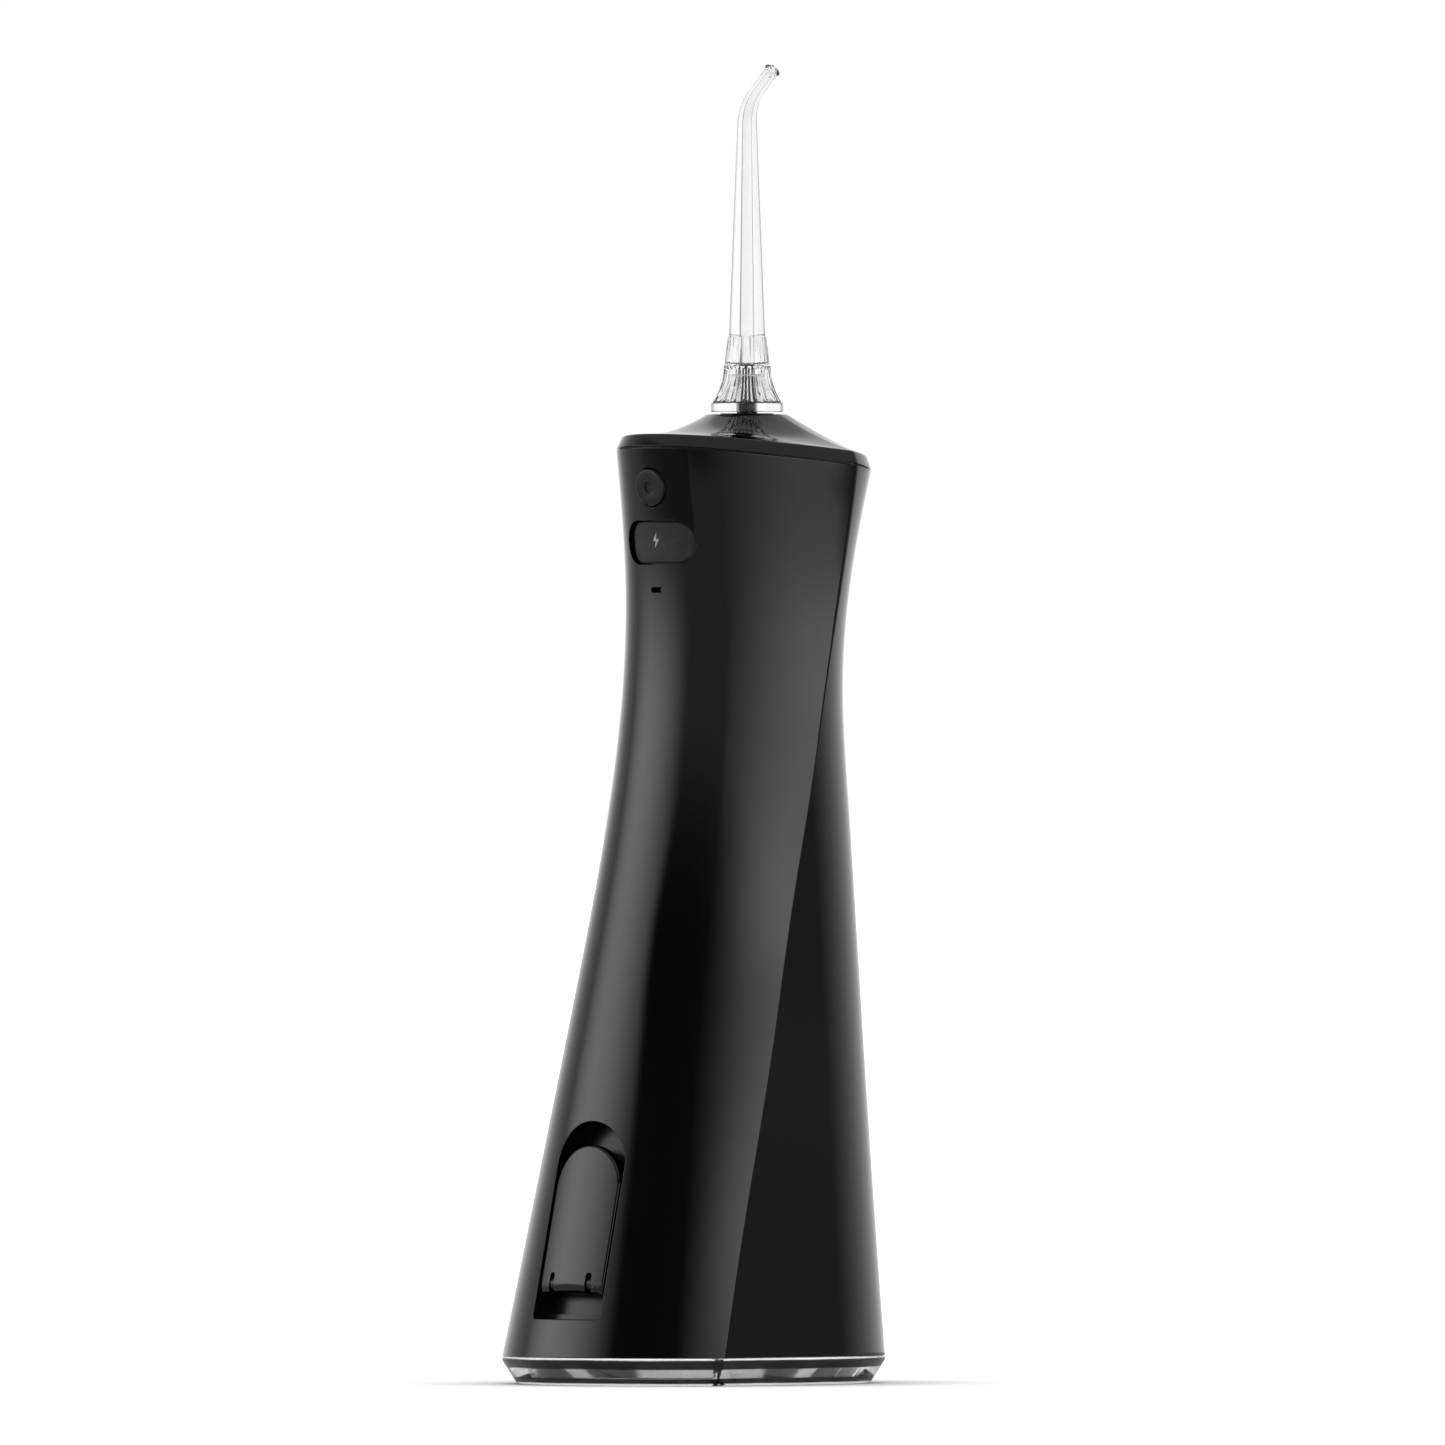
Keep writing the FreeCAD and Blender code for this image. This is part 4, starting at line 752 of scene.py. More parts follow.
@dataclass(frozen=True)
class ClearPlastic(Finish):
    """Clear or smoke-tinted injection moulding with faint flow lines and wiping marks."""

    colour: Colour = (0.97, 0.98, 0.985, 1.0)
    roughness: float = 0.02
    marks: float = 0.06
    flow: float = 2e-6

    def tint(self, graph: Graph, marks: bpy.types.NodeSocket) -> bpy.types.NodeSocket:
        """The colour, a little darker in the wiping marks."""
        return graph.mix(graph.ramp(marks, 0.3, 0.7), self.colour, tinted(self.colour, 0.97))

    def build(self, graph: Graph) -> None:
        """Transmission with flow lines in the normal and marks in the roughness."""
        lines = graph.noise(graph.place((1.0, 1.0, 0.12)), 520.0, 2.0)
        marks = graph.noise(graph.place(), 180.0, 4.0, 0.6)
        rough = graph.ramp(marks, 0.5, 0.85, self.roughness, self.roughness + self.marks)
        graph.principled(self.tint(graph, marks), rough, graph.bump(lines, self.flow), IOR=1.49,
                         Transmission_Weight=1.0)


@dataclass(frozen=True)
class FootPlastic(ClearPlastic):
    """The clear foot: smoke tint, with painted shade in two dark bands where the moulding turns the light
    down.

    Each band runs round the foot at its own height, and its edges waver a little.
    """

    marks: float = 0.05
    # painted shade: colour of the dark bands, standing in for the dark inside seen through the foot
    painted_shade: Colour = grey(0.0006)
    painted_shade_bands: tuple[tuple[float, float], ...] = ((0.45 * MM, 1.7 * MM), (3.6 * MM, 5.7 * MM))
    edge: float = 0.16 * MM
    waver: float = 0.5 * MM

    def tint(self, graph: Graph, marks: bpy.types.NodeSocket) -> bpy.types.NodeSocket:
        """Tint by height, with painted shade that darkens the colour in the bands, on the outer face only."""
        where = graph.place()
        height = graph.node("SeparateXYZ", Vector=where).outputs[2]
        waver = graph.math("MULTIPLY", graph.math("SUBTRACT", graph.noise(where, 45.0, 2.0), 0.5), self.waver)
        height = graph.math("ADD", height, waver)
        share = 0.0
        for low, high in self.painted_shade_bands:
            rise = graph.ramp(height, low - self.edge, low + self.edge)
            fall = graph.ramp(height, high + self.edge, high - self.edge)
            share = graph.math("MAXIMUM", share, graph.math("MULTIPLY", rise, fall))
        # painted shade: the colour turns dark inside the bands
        tint = graph.mix(share, self.colour, self.painted_shade)
        return graph.mix(graph.node("NewGeometry").outputs["Backfacing"], tint, grey(1.0))


@dataclass(frozen=True)
class MetalFinish(Finish):
    """Turned or drawn metal with tool lines and a light film of age."""

    colour: Colour = (0.56, 0.56, 0.57, 1.0)
    roughness: float = 0.25
    along: tuple[float, float, float] = (1.0, 0.04, 0.04)

    def build(self, graph: Graph) -> None:
        """Tool lines as stretched noise in roughness and bump, film as darker clouds."""
        lines = graph.noise(graph.place(self.along), 9000.0, 2.0)
        film = graph.noise(graph.place(), 300.0, 4.0, 0.6)
        dark = tinted(self.colour, 0.72)
        colour = graph.mix(graph.ramp(film, 0.45, 0.8), self.colour, dark)
        rough = graph.ramp(lines, 0.3, 0.7, self.roughness * 0.75, self.roughness * 1.3)
        graph.principled(colour, rough, graph.bump(lines, 1.5e-6), Metallic=1.0)


@dataclass(frozen=True)
class BoardFinish(Finish):
    """Circuit board: solder mask over copper tracks, with the glass weave showing through."""

    mask: Colour = (0.012, 0.075, 0.03, 1.0)
    copper: Colour = (0.03, 0.16, 0.05, 1.0)

    def build(self, graph: Graph) -> None:
        """Tracks from a brick pattern, weave from a checker, both under one gloss."""
        where = graph.place((1.0, 1.0, 1.0), (math.radians(90), 0.0, 0.0))
        tracks = graph.node("TexBrick", {"offset": 0.35, "squash": 1.4}, Vector=where, Scale=160.0,
                            Mortar_Size=0.012, Brick_Width=0.9, Row_Height=0.22).outputs["Fac"]
        weave = graph.node("TexChecker", Vector=where, Scale=2400.0).outputs["Fac"]
        colour = graph.mix(tracks, self.mask, self.copper)
        rough = graph.ramp(weave, 0.0, 1.0, 0.28, 0.36)
        graph.principled(colour, rough, graph.bump(tracks, 3e-5), Coat_Weight=0.4, Coat_Roughness=0.12)


@dataclass(frozen=True)
class WrapFinish(Finish):
    """Shrink-wrapped cell: glossy film with fine tension wrinkles near its ends."""

    colour: Colour = (0.03, 0.10, 0.20, 1.0)

    def build(self, graph: Graph) -> None:
        """Wrinkles as noise stretched round the cell."""
        wrinkles = graph.noise(graph.place((1.0, 1.0, 5.0)), 320.0, 3.0, 0.6)
        clouds = graph.noise(graph.place(), 120.0, 3.0)
        dark = tinted(self.colour, 0.75)
        colour = graph.mix(clouds, self.colour, dark)
        rough = graph.ramp(wrinkles, 0.3, 0.7, 0.18, 0.3)
        graph.principled(colour, rough, graph.bump(wrinkles, 4e-5))


class Finishes(Enum):
    """Every finish on the flosser."""

    BLACK_GLOSS = GlossPlastic("black_gloss", "black_gloss")
    BLACK_SATIN = SatinPlastic("black_satin", "black_satin")
    BUTTON_SATIN = SatinPlastic("button_satin", "black_gloss", grey(0.018), 0.3, 3e-6)
    WELL = SatinPlastic("door_well", "black_gloss", grey(0.004), 0.34, 3e-6)
    WHITE = SatinPlastic("white_plastic", "white_plastic", grey(0.72), 0.32, 4e-6)
    SMOKY = ClearPlastic("smoky_clear", "smoky_clear", (0.30, 0.30, 0.31, 1.0))
    # the clear foot, with painted shade in two dark bands
    FOOT = FootPlastic("smoky_foot_painted_shade", "smoky_clear", grey(0.9))
    CLEAR = ClearPlastic("clear", "clear", (0.992, 0.996, 0.998, 1.0), 0.004, 0.012, 4e-7)
    HOSE = ClearPlastic("tube_clear", "tube_clear", (0.9, 0.92, 0.93, 1.0), 0.12, 0.06, 6e-6)
    LENS = GlossPlastic("dark_lens", "dark_lens", (0.004, 0.0035, 0.0038, 1.0), 0.16)
    MARK = SatinPlastic("grey_mark", "white_plastic", grey(0.42), 0.5, 2e-6)
    BLACK_RUBBER = RubberFinish("black_rubber", "black_rubber")
    GREY_RUBBER = RubberFinish("grey_rubber", "grey_rubber", grey(0.22), 0.5)
    STEEL = MetalFinish("steel", "steel")
    BRASS = MetalFinish("brass", "brass", (0.75, 0.52, 0.21, 1.0), 0.22)
    BOARD = BoardFinish("board_green", "board_green")
    CELL = WrapFinish("cell_wrap", "cell_wrap")


# --- Shared construction ----------------------------------------------------------------


def soften(rings: Array, cuts: list[float], steps: int = 4) -> Array:
    """Round the corners of closed loops that run through a stack of rings, column by column.

    Each corner is replaced by a quadratic Bezier arc that starts and ends a cut away from it.

    Args:
        rings: K by C by 3 points; every column is a closed loop of K corners.
        cuts: length cut off at each ring, in metres, zero to leave it as it is.
        steps: points over each corner.

    Returns:
        Grid of points with more rows.
    """
    rows = []
    t = np.linspace(0, 1, steps)[:, None, None]
    for i, cut in enumerate(cuts):
        here, before, after = rings[i], rings[i - 1], rings[(i + 1) % len(rings)]
        if cut <= 0:
            rows.append(here[None])
            continue
        start, end = (here + (there - here) * np.minimum(
            cut / np.linalg.norm(there - here, axis=-1), LONGEST_CUT)[:, None] for there in (before, after))
        rows.append((1 - t) ** 2 * start + 2 * t * (1 - t) * here + t ** 2 * end)
    return np.concatenate(rows)


def turned_piece(name: str, corners: Triples, origin: Vector, axis: Vector,
                 segments: int = 96, sharp: float = 35.0) -> bpy.types.Object:
    """Closed solid of revolution whose profile starts and ends on its axis, or wraps round a bore.

    Args:
        name: the piece's name.
        corners: radius, height and rounding of each profile corner.
        origin: the axis's foot.
        axis: the axis's direction.
        segments: points once round.
        sharp: corner angle in degrees that stays sharp.

    Returns:
        The piece.
    """
    bored = corners[0][0] > 0
    profile = rounded(corners, 6)
    grid = turned_grid(profile, origin, axis, segments)
    if bored:
        points, faces = looped(grid)
    else:
        points, faces = capped(grid[1:-1])
        points[-2:] = grid[0, 0], grid[-1, 0]
    return make_mesh(name, points, faces, sharp)


def cut(piece: bpy.types.Object, cutters: list[bpy.types.Object]) -> None:
    """Cut several closed cutters out of a piece exactly; they are used up.

    Args:
        piece: the object that is cut.
        cutters: closed meshes.
    """
    for cutter in cutters:
        modifier = piece.modifiers.new("cut", "BOOLEAN")
        modifier.operation = "DIFFERENCE"
        modifier.solver = "EXACT"
        modifier.object = cutter
    graph = bpy.context.evaluated_depsgraph_get()
    result = bpy.data.meshes.new_from_object(piece.evaluated_get(graph))
    piece.modifiers.clear()
    old, piece.data = piece.data, result
    bpy.data.meshes.remove(old)
    for cutter in cutters:
        bpy.data.objects.remove(cutter)


def lip_layers(radius: float, depth: float, steps: int = 6) -> Triples:
    """Layers of a cutter that leaves a rounded lip where it enters a face.

    The lip is an arc: at depth r * (1 - sin t) the opening has grown by r * (1 - cos t). It starts
    a little before its tangent, and goes on outside the face along its last slope.

    Args:
        radius: the lip's radius.
        depth: how far in the cutter goes.
        steps: layers over the lip.

    Returns:
        Grow, inset and shrink of each layer, from outside to inside.
    """
    steep = math.radians(76.0)
    t = np.linspace(steep, 0, steps)
    arc = list(zip(radius * (1 - np.cos(t)), radius * (1 - np.sin(t)), np.ones(steps)))
    reach = 0.4 * radius
    wide = radius * (1 - math.cos(steep)) + (radius * (1 - math.sin(steep)) + reach) * math.tan(steep)
    outside = -3 * MM
    return [(wide, outside, 0.5), (wide, outside, 1.0), (wide, -reach, 1.0), *arc,
            (0.0, depth, 1.0), (0.0, depth, 0.5)]


def vertex_places(mesh: bpy.types.Mesh) -> Array:
    """Places of a mesh's vertices as an N by 3 array."""
    points = np.empty(len(mesh.vertices) * 3)
    mesh.vertices.foreach_get("co", points)
    return points.reshape(-1, 3)


# --- Housing ------------------------------------------------------------------------------


@dataclass
class Housing:
    """Black casing, its cap, and the smoke-tinted foot under it."""

    wall: float = 2.2 * MM
    foot: float = 6.05 * MM
    seam: float = 202.1 * MM
    slope: float = 0.112
    seam_gap: float = 0.3 * MM
    edge: float = 0.28 * MM
    bevel_height: float = 2.8 * MM
    bevel_inset: float = 1.5 * MM
    top: float = 213.0 * MM
    disc_radius: float = 8.85 * MM
    sag: float = 1.6 * MM
    bore: float = 6.0 * MM
    socket_foot: float = 201.1 * MM
    socket_wall: float = 2.4 * MM
    cap_roof: float = 208.6 * MM
    roof_radius: float = 11.5 * MM
    cap_skirt: float = 2.0 * MM
    rebate: float = 2.3 * MM
    foot_rim: float = 9.3 * MM
    foot_land: float = 6.0 * MM
    foot_floor: float = 2.0 * MM
    foot_bevel: float = 3.3 * MM
    foot_wall: float = 5.6 * MM
    foot_middle: float = 8.0 * MM
    rows: int = 190

    def casing(self, openings: list[bpy.types.Object]) -> bpy.types.Object:
        """One shell from the foot to the slanted seam, cut by its openings.

        The outer surface is the housing's outline carried up the height; the inner one is the same
        outline moved in by the wall; both rims are rounded.

        Args:
            openings: closed cutters, which are used up.

        Returns:
            The casing.
        """
        columns = FORM.columns(46, 9, 62)
        turn = np.radians([0.0, 30.0, 60.0, 90.0])
        up = np.linspace(0, 1, self.rows)[1:-1]
        down = np.linspace(1, 0, 50)
        inset = np.concatenate([self.edge * (1 - np.sin(turn)), 0 * up, self.edge * (1 - np.sin(turn[::-1])),
                                0 * down + self.wall])
        share = np.concatenate([0 * turn, up, 0 * turn + 1, down])
        lift = np.concatenate([self.edge * (1 - np.cos(turn)), self.edge * (1 - 2 * up),
                               -self.edge * (1 - np.cos(turn[::-1])), 0 * down])
        seam = FORM.slanted(columns, self.seam, self.slope, inset[:, None])[..., 2]
        z = self.foot + (seam - self.foot) * share[:, None] + lift[:, None]
        grid = FORM.points(columns, z, inset[:, None])
        points, faces = looped(grid)
        piece = make_mesh("casing", points, faces)
        cut(piece, openings)
        self.true_normals(piece.data)
        return piece

    def true_normals(self, mesh: bpy.types.Mesh) -> None:
        """Give the faces on the outer surface the form's own normals, so that cuts leave no ripple.

        Args:
            mesh: the casing's mesh.
        """
        mesh.shade_smooth()
        mesh.set_sharp_from_angle(angle=math.radians(32))
        normals, distance = FORM.normals(vertex_places(mesh))
        corners = np.empty(len(mesh.loops) * 3)
        mesh.corner_normals.foreach_get("vector", corners)
        corners = corners.reshape(-1, 3)
        vertex = np.empty(len(mesh.loops), dtype=np.int64)
        mesh.loops.foreach_get("vertex_index", vertex)
        on_face = (np.abs(distance[vertex]) < 0.02 * MM) & (np.sum(corners * normals[vertex], axis=1) > 0.8)
        corners[on_face] = normals[vertex][on_face]
        mesh.normals_split_custom_set(corners.tolist())

    def circle(self, columns: Columns, radius: float, z: float) -> Array:
        """Circle about the nozzle's axis with its points in the directions of the rim's."""
        rim = FORM.slanted(columns, self.seam, self.slope, self.bevel_inset)[:, :2]
        spoke = rim / np.linalg.norm(rim, axis=1, keepdims=True)
        return np.column_stack([spoke * radius, np.full(len(spoke), z)])

    def cap(self) -> bpy.types.Object:
        """Bevelled rim and a top that rises in a hollow sweep to the nozzle's disc.

        Between rim, middle and disc each column is the parabola through its three points.
        """
        columns = FORM.columns(60, 7, 60)
        low = self.seam + self.seam_gap

        def ring(z: float, inset: float) -> Array:
            """Outline on a plane parallel to the seam."""
            return FORM.slanted(columns, z, self.slope, inset)

        rim = ring(low + self.bevel_height, self.bevel_inset)
        disc = self.circle(columns, self.disc_radius, self.top)
        spoke = disc[:, 1] / self.disc_radius
        middle = (rim + disc) / 2
        middle[:, 2] -= self.sag * (0.5 + 0.5 * spoke)
        s = np.linspace(0, 1, 26)[1:-1, None, None]
        sweep = rim * (2 * s - 1) * (s - 1) + middle * 4 * s * (1 - s) + disc * s * (2 * s - 1)
        socket, skirt = self.bore + self.socket_wall, self.seam - self.cap_skirt
        inside = [(self.bore, self.top), (self.bore, self.socket_foot), (socket, self.socket_foot),
                  (socket, self.cap_roof), (self.roof_radius, self.cap_roof)]
        rings = [ring(low, 0.0), rim, *sweep, disc, *(self.circle(columns, r, z) for r, z in inside),
                 ring(low + 2.2 * MM, 4.8 * MM), ring(low - 0.5 * MM, 3.45 * MM), ring(skirt, 3.5 * MM),
                 ring(skirt, self.rebate), ring(low, self.rebate)]
        cuts = [0.14, 0.45] + [0.0] * len(sweep) + [0.35, 0.3, 0.2, 0.2, 0, 0, 0, 0, 0, 0, 0]
        grid = soften(np.stack(rings), [c * MM for c in cuts], 5)
        points, faces = looped(grid)
        return make_mesh("cap", points, faces, 30.0)

    def clear_foot(self) -> bpy.types.Object:
        """Hollow foot: bevel up to an upright land, a lip inside the casing and a well floor."""
        columns = FORM.columns(40, 7, 50)
        rim, land, floor, wall = self.foot_rim, self.foot_land, self.foot_floor, self.foot_wall

        def ring(z: float, inset: float, scale: float = 1.0, section: float = land) -> Array:
            """An outline of the housing at another height, scaled about the foot's middle."""
            points = FORM.points(columns, section, inset)
            middle = np.array([0.0, self.foot_middle, 0.0])
            points = middle + (points - middle) * scale
            points[:, 2] = z
            return points

        rings = [*(ring(0, self.foot_bevel, scale) for scale in (0.03, 0.5, 0.9, 1.0)),
                 ring(5.2 * MM, 0), ring(land, 0), ring(land, self.rebate),
                 ring(rim, self.rebate, 1.0, rim), ring(rim, 3.93 * MM, 1.0, rim),
                 *(ring(floor, wall, scale) for scale in (1.0, 0.9, 0.5, 0.03))]
        cuts = [0, 0, 0, 0.35, 0.3, 0.2, 0.15, 0.2, 0.2, 0.6, 0, 0, 0]
        grid = soften(np.stack(rings), [c * MM for c in cuts], 4)
        points, faces = capped(grid)
        return make_mesh("foot", points, faces, 30.0)

    def build(self, openings: list[bpy.types.Object]) -> None:
        """Make, dress and place the housing's own pieces.

        Args:
            openings: cutters for the casing.
        """
        for piece, nodes, finish in (
                (self.casing(openings), "outer_casing", Finishes.BLACK_GLOSS),
                (self.cap(), "top_cap", Finishes.BLACK_GLOSS),
                (self.clear_foot(), "clear_base", Finishes.FOOT)):
            place(piece, "housing", finish, nodes)


def place(piece: bpy.types.Object, body: str, finish: Finishes, *nodes: str) -> bpy.types.Object:
    """Dress a piece, let it ride on its body and stand for CAD nodes.

    Args:
        piece: the finished piece.
        body: the body that it rides on.
        finish: what it is made of.
        nodes: CAD nodes that it stands for.

    Returns:
        The piece.
    """
    finish.value.dress(piece)
    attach(piece, body)
    if nodes:
        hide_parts(*nodes)
    log.info("%s on %s: %d faces, %s", piece.name, body, len(piece.data.polygons), finish.value.name)
    return piece


# --- Filling door ---------------------------------------------------------------------------


@dataclass
class FillDoor:
    """Arched opening low on the back with its hinged flap and soft gasket."""

    half_width: float = 10.2 * MM
    sill: float = 14.5 * MM
    arch_centre: float = 47.6 * MM
    flap_half_width: float = 9.5 * MM
    flap_centre: float = 43.0 * MM
    flap_inset: float = 0.35 * MM
    thickness: float = 2.0 * MM
    edge: float = 0.4 * MM
    hinge_y: float = 54.24 * MM
    hinge_z: float = 22.2 * MM
    curl: float = 2.3 * MM
    eye: float = 1.09 * MM
    barrel: float = 1.9 * MM
    barrel_half: float = 7.2 * MM
    slot_x: float = 5.5 * MM
    slot_half: float = 0.8 * MM
    slot_top: float = 24.8 * MM
    lip: float = 0.22 * MM
    gasket_z: float = 38.0 * MM
    gasket_radius: float = 8.2 * MM
    gasket_back: float = 4.1 * MM
    bead: float = 0.4 * MM

    def opening(self) -> bpy.types.Object:
        """Cutter of the arched opening with its rounded lip."""
        patch = arch_patch(self.half_width, self.sill, self.arch_centre, 0.9 * MM)
        return make_mesh("door_opening", *patch.closed(lip_layers(self.lip, 3.6 * MM)))

    def curled(self, points: Array) -> Array:
        """Curl what hangs below the hinge's height round its pin.

        A point s below the hinge and d under the face goes to the angle s / R under the outward
        direction, so that y = hinge + (R - d) cos(s / R) and z = hinge - (R - d) sin(s / R), and
        no further out than d under the housing's face at the hinge.

        Args:
            points: N by 3 places on the flat-hanging flap.

        Returns:
            The curled places.
        """
        points = points.copy()
        low = points[:, 2] < self.hinge_z
        x, y, z = points[low].T
        outer = FORM.face_y(Side.BACK, x, np.full(len(x), self.hinge_z), self.flap_inset) - self.hinge_y
        depth = FORM.face_y(Side.BACK, x, z, self.flap_inset) - y
        radius = np.maximum(self.curl - depth, self.eye)
        angle = (self.hinge_z - z) / self.curl
        points[low, 1] = self.hinge_y + np.minimum(radius * np.cos(angle), outer - depth)
        points[low, 2] = self.hinge_z - radius * np.sin(angle)
        return points

    def flap(self) -> bpy.types.Object:
        """Plate that follows the housing, with softened edges, a curled foot and two slots."""
        foot = self.hinge_z - self.curl * math.pi / 2
        patch = arch_patch(self.flap_half_width, foot, self.flap_centre, 0.5 * MM)
        face, back, edge = self.flap_inset, self.flap_inset + self.thickness, self.edge
        t = QUARTER
        layers = [(-edge, face, s) for s in np.linspace(0.04, 0.985, 30)]
        layers += list(zip(-edge * (1 - np.sin(t)), face + edge * (1 - np.cos(t)), np.ones(6)))
        layers += list(zip(-0.3 * edge * (1 - np.cos(t)), back - 0.3 * edge * (1 - np.sin(t)), np.ones(6)))
        layers += [(-0.3 * edge, back, s) for s in np.linspace(0.985, 0.04, 16)]
        points, faces = patch.closed(layers)
        piece = make_mesh("flap", self.curled(points), faces)
        barrel = self.hinge_barrel()
        for part in (piece, barrel):
            for side in (-1, 1):
                cut(part, [self.slot(side * self.slot_x)])
            part.data.shade_smooth()
            part.data.set_sharp_from_angle(angle=math.radians(32))
        place(barrel, "door", Finishes.BLACK_GLOSS)
        return piece

    def hinge_barrel(self) -> bpy.types.Object:
        """Barrel round the pin, kept just under the flap's face."""
        half = self.barrel_half
        corners = [(self.eye, 0, 0), (self.barrel, 0, 0.15 * MM), (self.barrel, 2 * half, 0.15 * MM),
                   (self.eye, 2 * half, 0)]
        end = Vector((-half, self.hinge_y, self.hinge_z))
        piece = turned_piece("flap_barrel", corners, end, Vector((1, 0, 0)), 48)
        points = vertex_places(piece.data)
        face = FORM.face_y(Side.BACK, points[:, 0], points[:, 2], self.flap_inset + 0.08 * MM)
        points[:, 1] = np.minimum(points[:, 1], face)
        piece.data.vertices.foreach_set("co", points.ravel())
        return piece

    def slot(self, x: float) -> bpy.types.Object:
        """Cutter of one slot through the flap's foot, round at its top."""
        t = np.linspace(0, math.pi, 15)
        across = np.concatenate([x + self.slot_half * np.cos(t), [x - self.slot_half, x + self.slot_half]])
        up = np.concatenate([self.slot_top - self.slot_half * (1 - np.sin(t)), [12 * MM, 12 * MM]])
        rings = [np.column_stack([across, np.full(len(across), y), up]) for y in (45 * MM, 70 * MM)]
        return make_mesh("slot", *capped(np.stack(rings)))

    def gasket(self) -> bpy.types.Object:
        """Soft disc on the flap's back with a raised sealing bead."""
        patch = circle_patch(0.0, self.gasket_z, self.gasket_radius, Side.BACK, 64)
        face, back = self.flap_inset + self.thickness, self.gasket_back
        flat = back - self.bead
        bead = [(0, back - 0.25 * MM, 1.0), (-0.3 * MM, back, 1.0), (-1.1 * MM, back, 1.0),
                (-1.5 * MM, flat, 1.0)]
        layers = [(0, face, 0.05), (0, face, 0.6), (0, face, 1.0), *bead, (0, flat, 0.5), (0, flat, 0.05)]
        return make_mesh("gasket", *patch.closed(layers))

    def build(self) -> None:
        """Make, dress and place the flap and its gasket."""
        place(self.flap(), "door", Finishes.BLACK_GLOSS, "fill_door")
        place(self.gasket(), "door", Finishes.GREY_RUBBER, "door_gasket")


# --- Back controls ----------------------------------------------------------------------------


@dataclass
class BackControls:
    """Release button, charging port cover and charging light on the back."""

    button_z: float = 196.8 * MM
    button_radius: float = 4.05 * MM
    tilt: float = math.radians(10.0)
    proud: float = 0.5 * MM
    dimple_radius: float = 1.4 * MM
    dimple_depth: float = 0.45 * MM
    cover_z: float = 184.7 * MM
    cover_width: float = 19.6 * MM
    cover_height: float = 9.1 * MM
    cover_end: float = 8.8 * MM
    cover_sink: float = 0.9 * MM
    mark_x: float = 0.4 * MM
    mark_z: float = 185.2 * MM
    mark_size: float = 1.7 * MM
    lens_z: float = 174.3 * MM
    lens_sink: float = 1.6 * MM
    fit: float = 0.3 * MM

    def openings(self) -> list[bpy.types.Object]:
        """Cutters of the button's hole, the cover's recess and the light's slot."""
        hole = circle_patch(0.0, self.button_z, self.button_radius + self.fit, Side.BACK)
        recess = stadium_patch(self.cover_width + 0.8 * MM, self.cover_height + 0.6 * MM, self.cover_z)
        slot = stadium_patch(3.4 * MM, 1.2 * MM, self.lens_z, step=0.12 * MM)
        return [make_mesh("button_hole", *hole.closed(lip_layers(0.15 * MM, 3.4 * MM))),
                make_mesh("cover_recess", *recess.closed(lip_layers(0.18 * MM, 3.4 * MM))),
                make_mesh("lens_slot", *slot.closed(lip_layers(0.1 * MM, 3.4 * MM)))]

    def button(self) -> bpy.types.Object:
        """Low raised button: rounded rim, flat face and a small round dimple with a flat floor."""
        origin = Vector((0, float(FORM.face_y(Side.BACK, 0.0, self.button_z)), self.button_z))
        axis = Vector((0, math.cos(self.tilt), -math.sin(self.tilt)))
        r, top, floor = self.button_radius, self.proud, self.proud - self.dimple_depth
        flange = r + 0.8 * MM
        corners = [(0, floor, 0), (self.dimple_radius, floor, 0.12 * MM), (self.dimple_radius, top, 0.1 * MM),
                   (r, top, 0.25 * MM), (r, -3.4 * MM, 0), (flange, -3.4 * MM, 0.2 * MM),
                   (flange, -4.6 * MM, 0.2 * MM), (0, -4.6 * MM, 0)]
        return turned_piece("button", corners, origin, axis, 96)

    def cover(self) -> bpy.types.Object:
        """Soft cover that follows the back, with rounded edges, shorter at the end that bends."""
        near, far, half = self.cover_end, -self.cover_width / 2, self.cover_height / 2
        low, high = self.cover_z - half, self.cover_z + half
        patch = outline_patch([(near, low, 3.6 * MM), (near, high, 3.6 * MM),
                               (far, high, half * NEARLY_ROUND), (far, low, half * NEARLY_ROUND)])
        face, edge = self.cover_sink, 0.35 * MM
        t = QUARTER
        layers = [(-edge, face, s) for s in np.linspace(0.06, 0.97, 10)]
        layers += list(zip(-edge * (1 - np.sin(t)), face + edge * (1 - np.cos(t)), np.ones(6)))
        layers += [(0.0, face + 1.5 * MM, 1.0), (0.0, face + 1.5 * MM, 0.5), (0.0, face + 1.5 * MM, 0.06)]
        return make_mesh("port_cover", *patch.closed(layers))

    def charging_mark(self) -> bpy.types.Object:
        """Plain lightning bolt on the cover, a thin raised print that follows its face."""
        outline = np.array([(0.15, 1.0), (-0.55, -0.08), (-0.05, -0.08),
                            (-0.2, -1.0), (0.55, 0.14), (0.05, 0.14)])
        x = self.mark_x - outline[:, 0] * self.mark_size
        z = self.mark_z + outline[:, 1] * self.mark_size
        rings = [np.column_stack([x, FORM.face_y(Side.BACK, x, z, depth), z])
                 for depth in (self.cover_sink + 0.1 * MM, self.cover_sink - 0.03 * MM)]
        count = len(x)
        floor, top = np.arange(count)[::-1], np.arange(count) + count
        sides = grid_faces(2, count, False)
        return make_mesh("charging_mark", np.concatenate(rings), [sides, floor[None], top[None]], 30.0)

    def lens(self) -> bpy.types.Object:
        """Small dark window with a rounded edge, deep in its slot."""
        patch = stadium_patch(3.3 * MM, 1.1 * MM, self.lens_z, step=0.12 * MM)
        face, edge = self.lens_sink, 0.12 * MM
        layers = [(-edge, face, 0.1), (-edge, face, 0.7), (-edge, face, 1.0),
                  (-0.3 * edge, face + 0.3 * edge, 1.0), (0, face + edge, 1.0),
                  (0, 4 * MM, 1.0), (0, 4 * MM, 0.1)]
        return make_mesh("light_window", *patch.closed(layers))

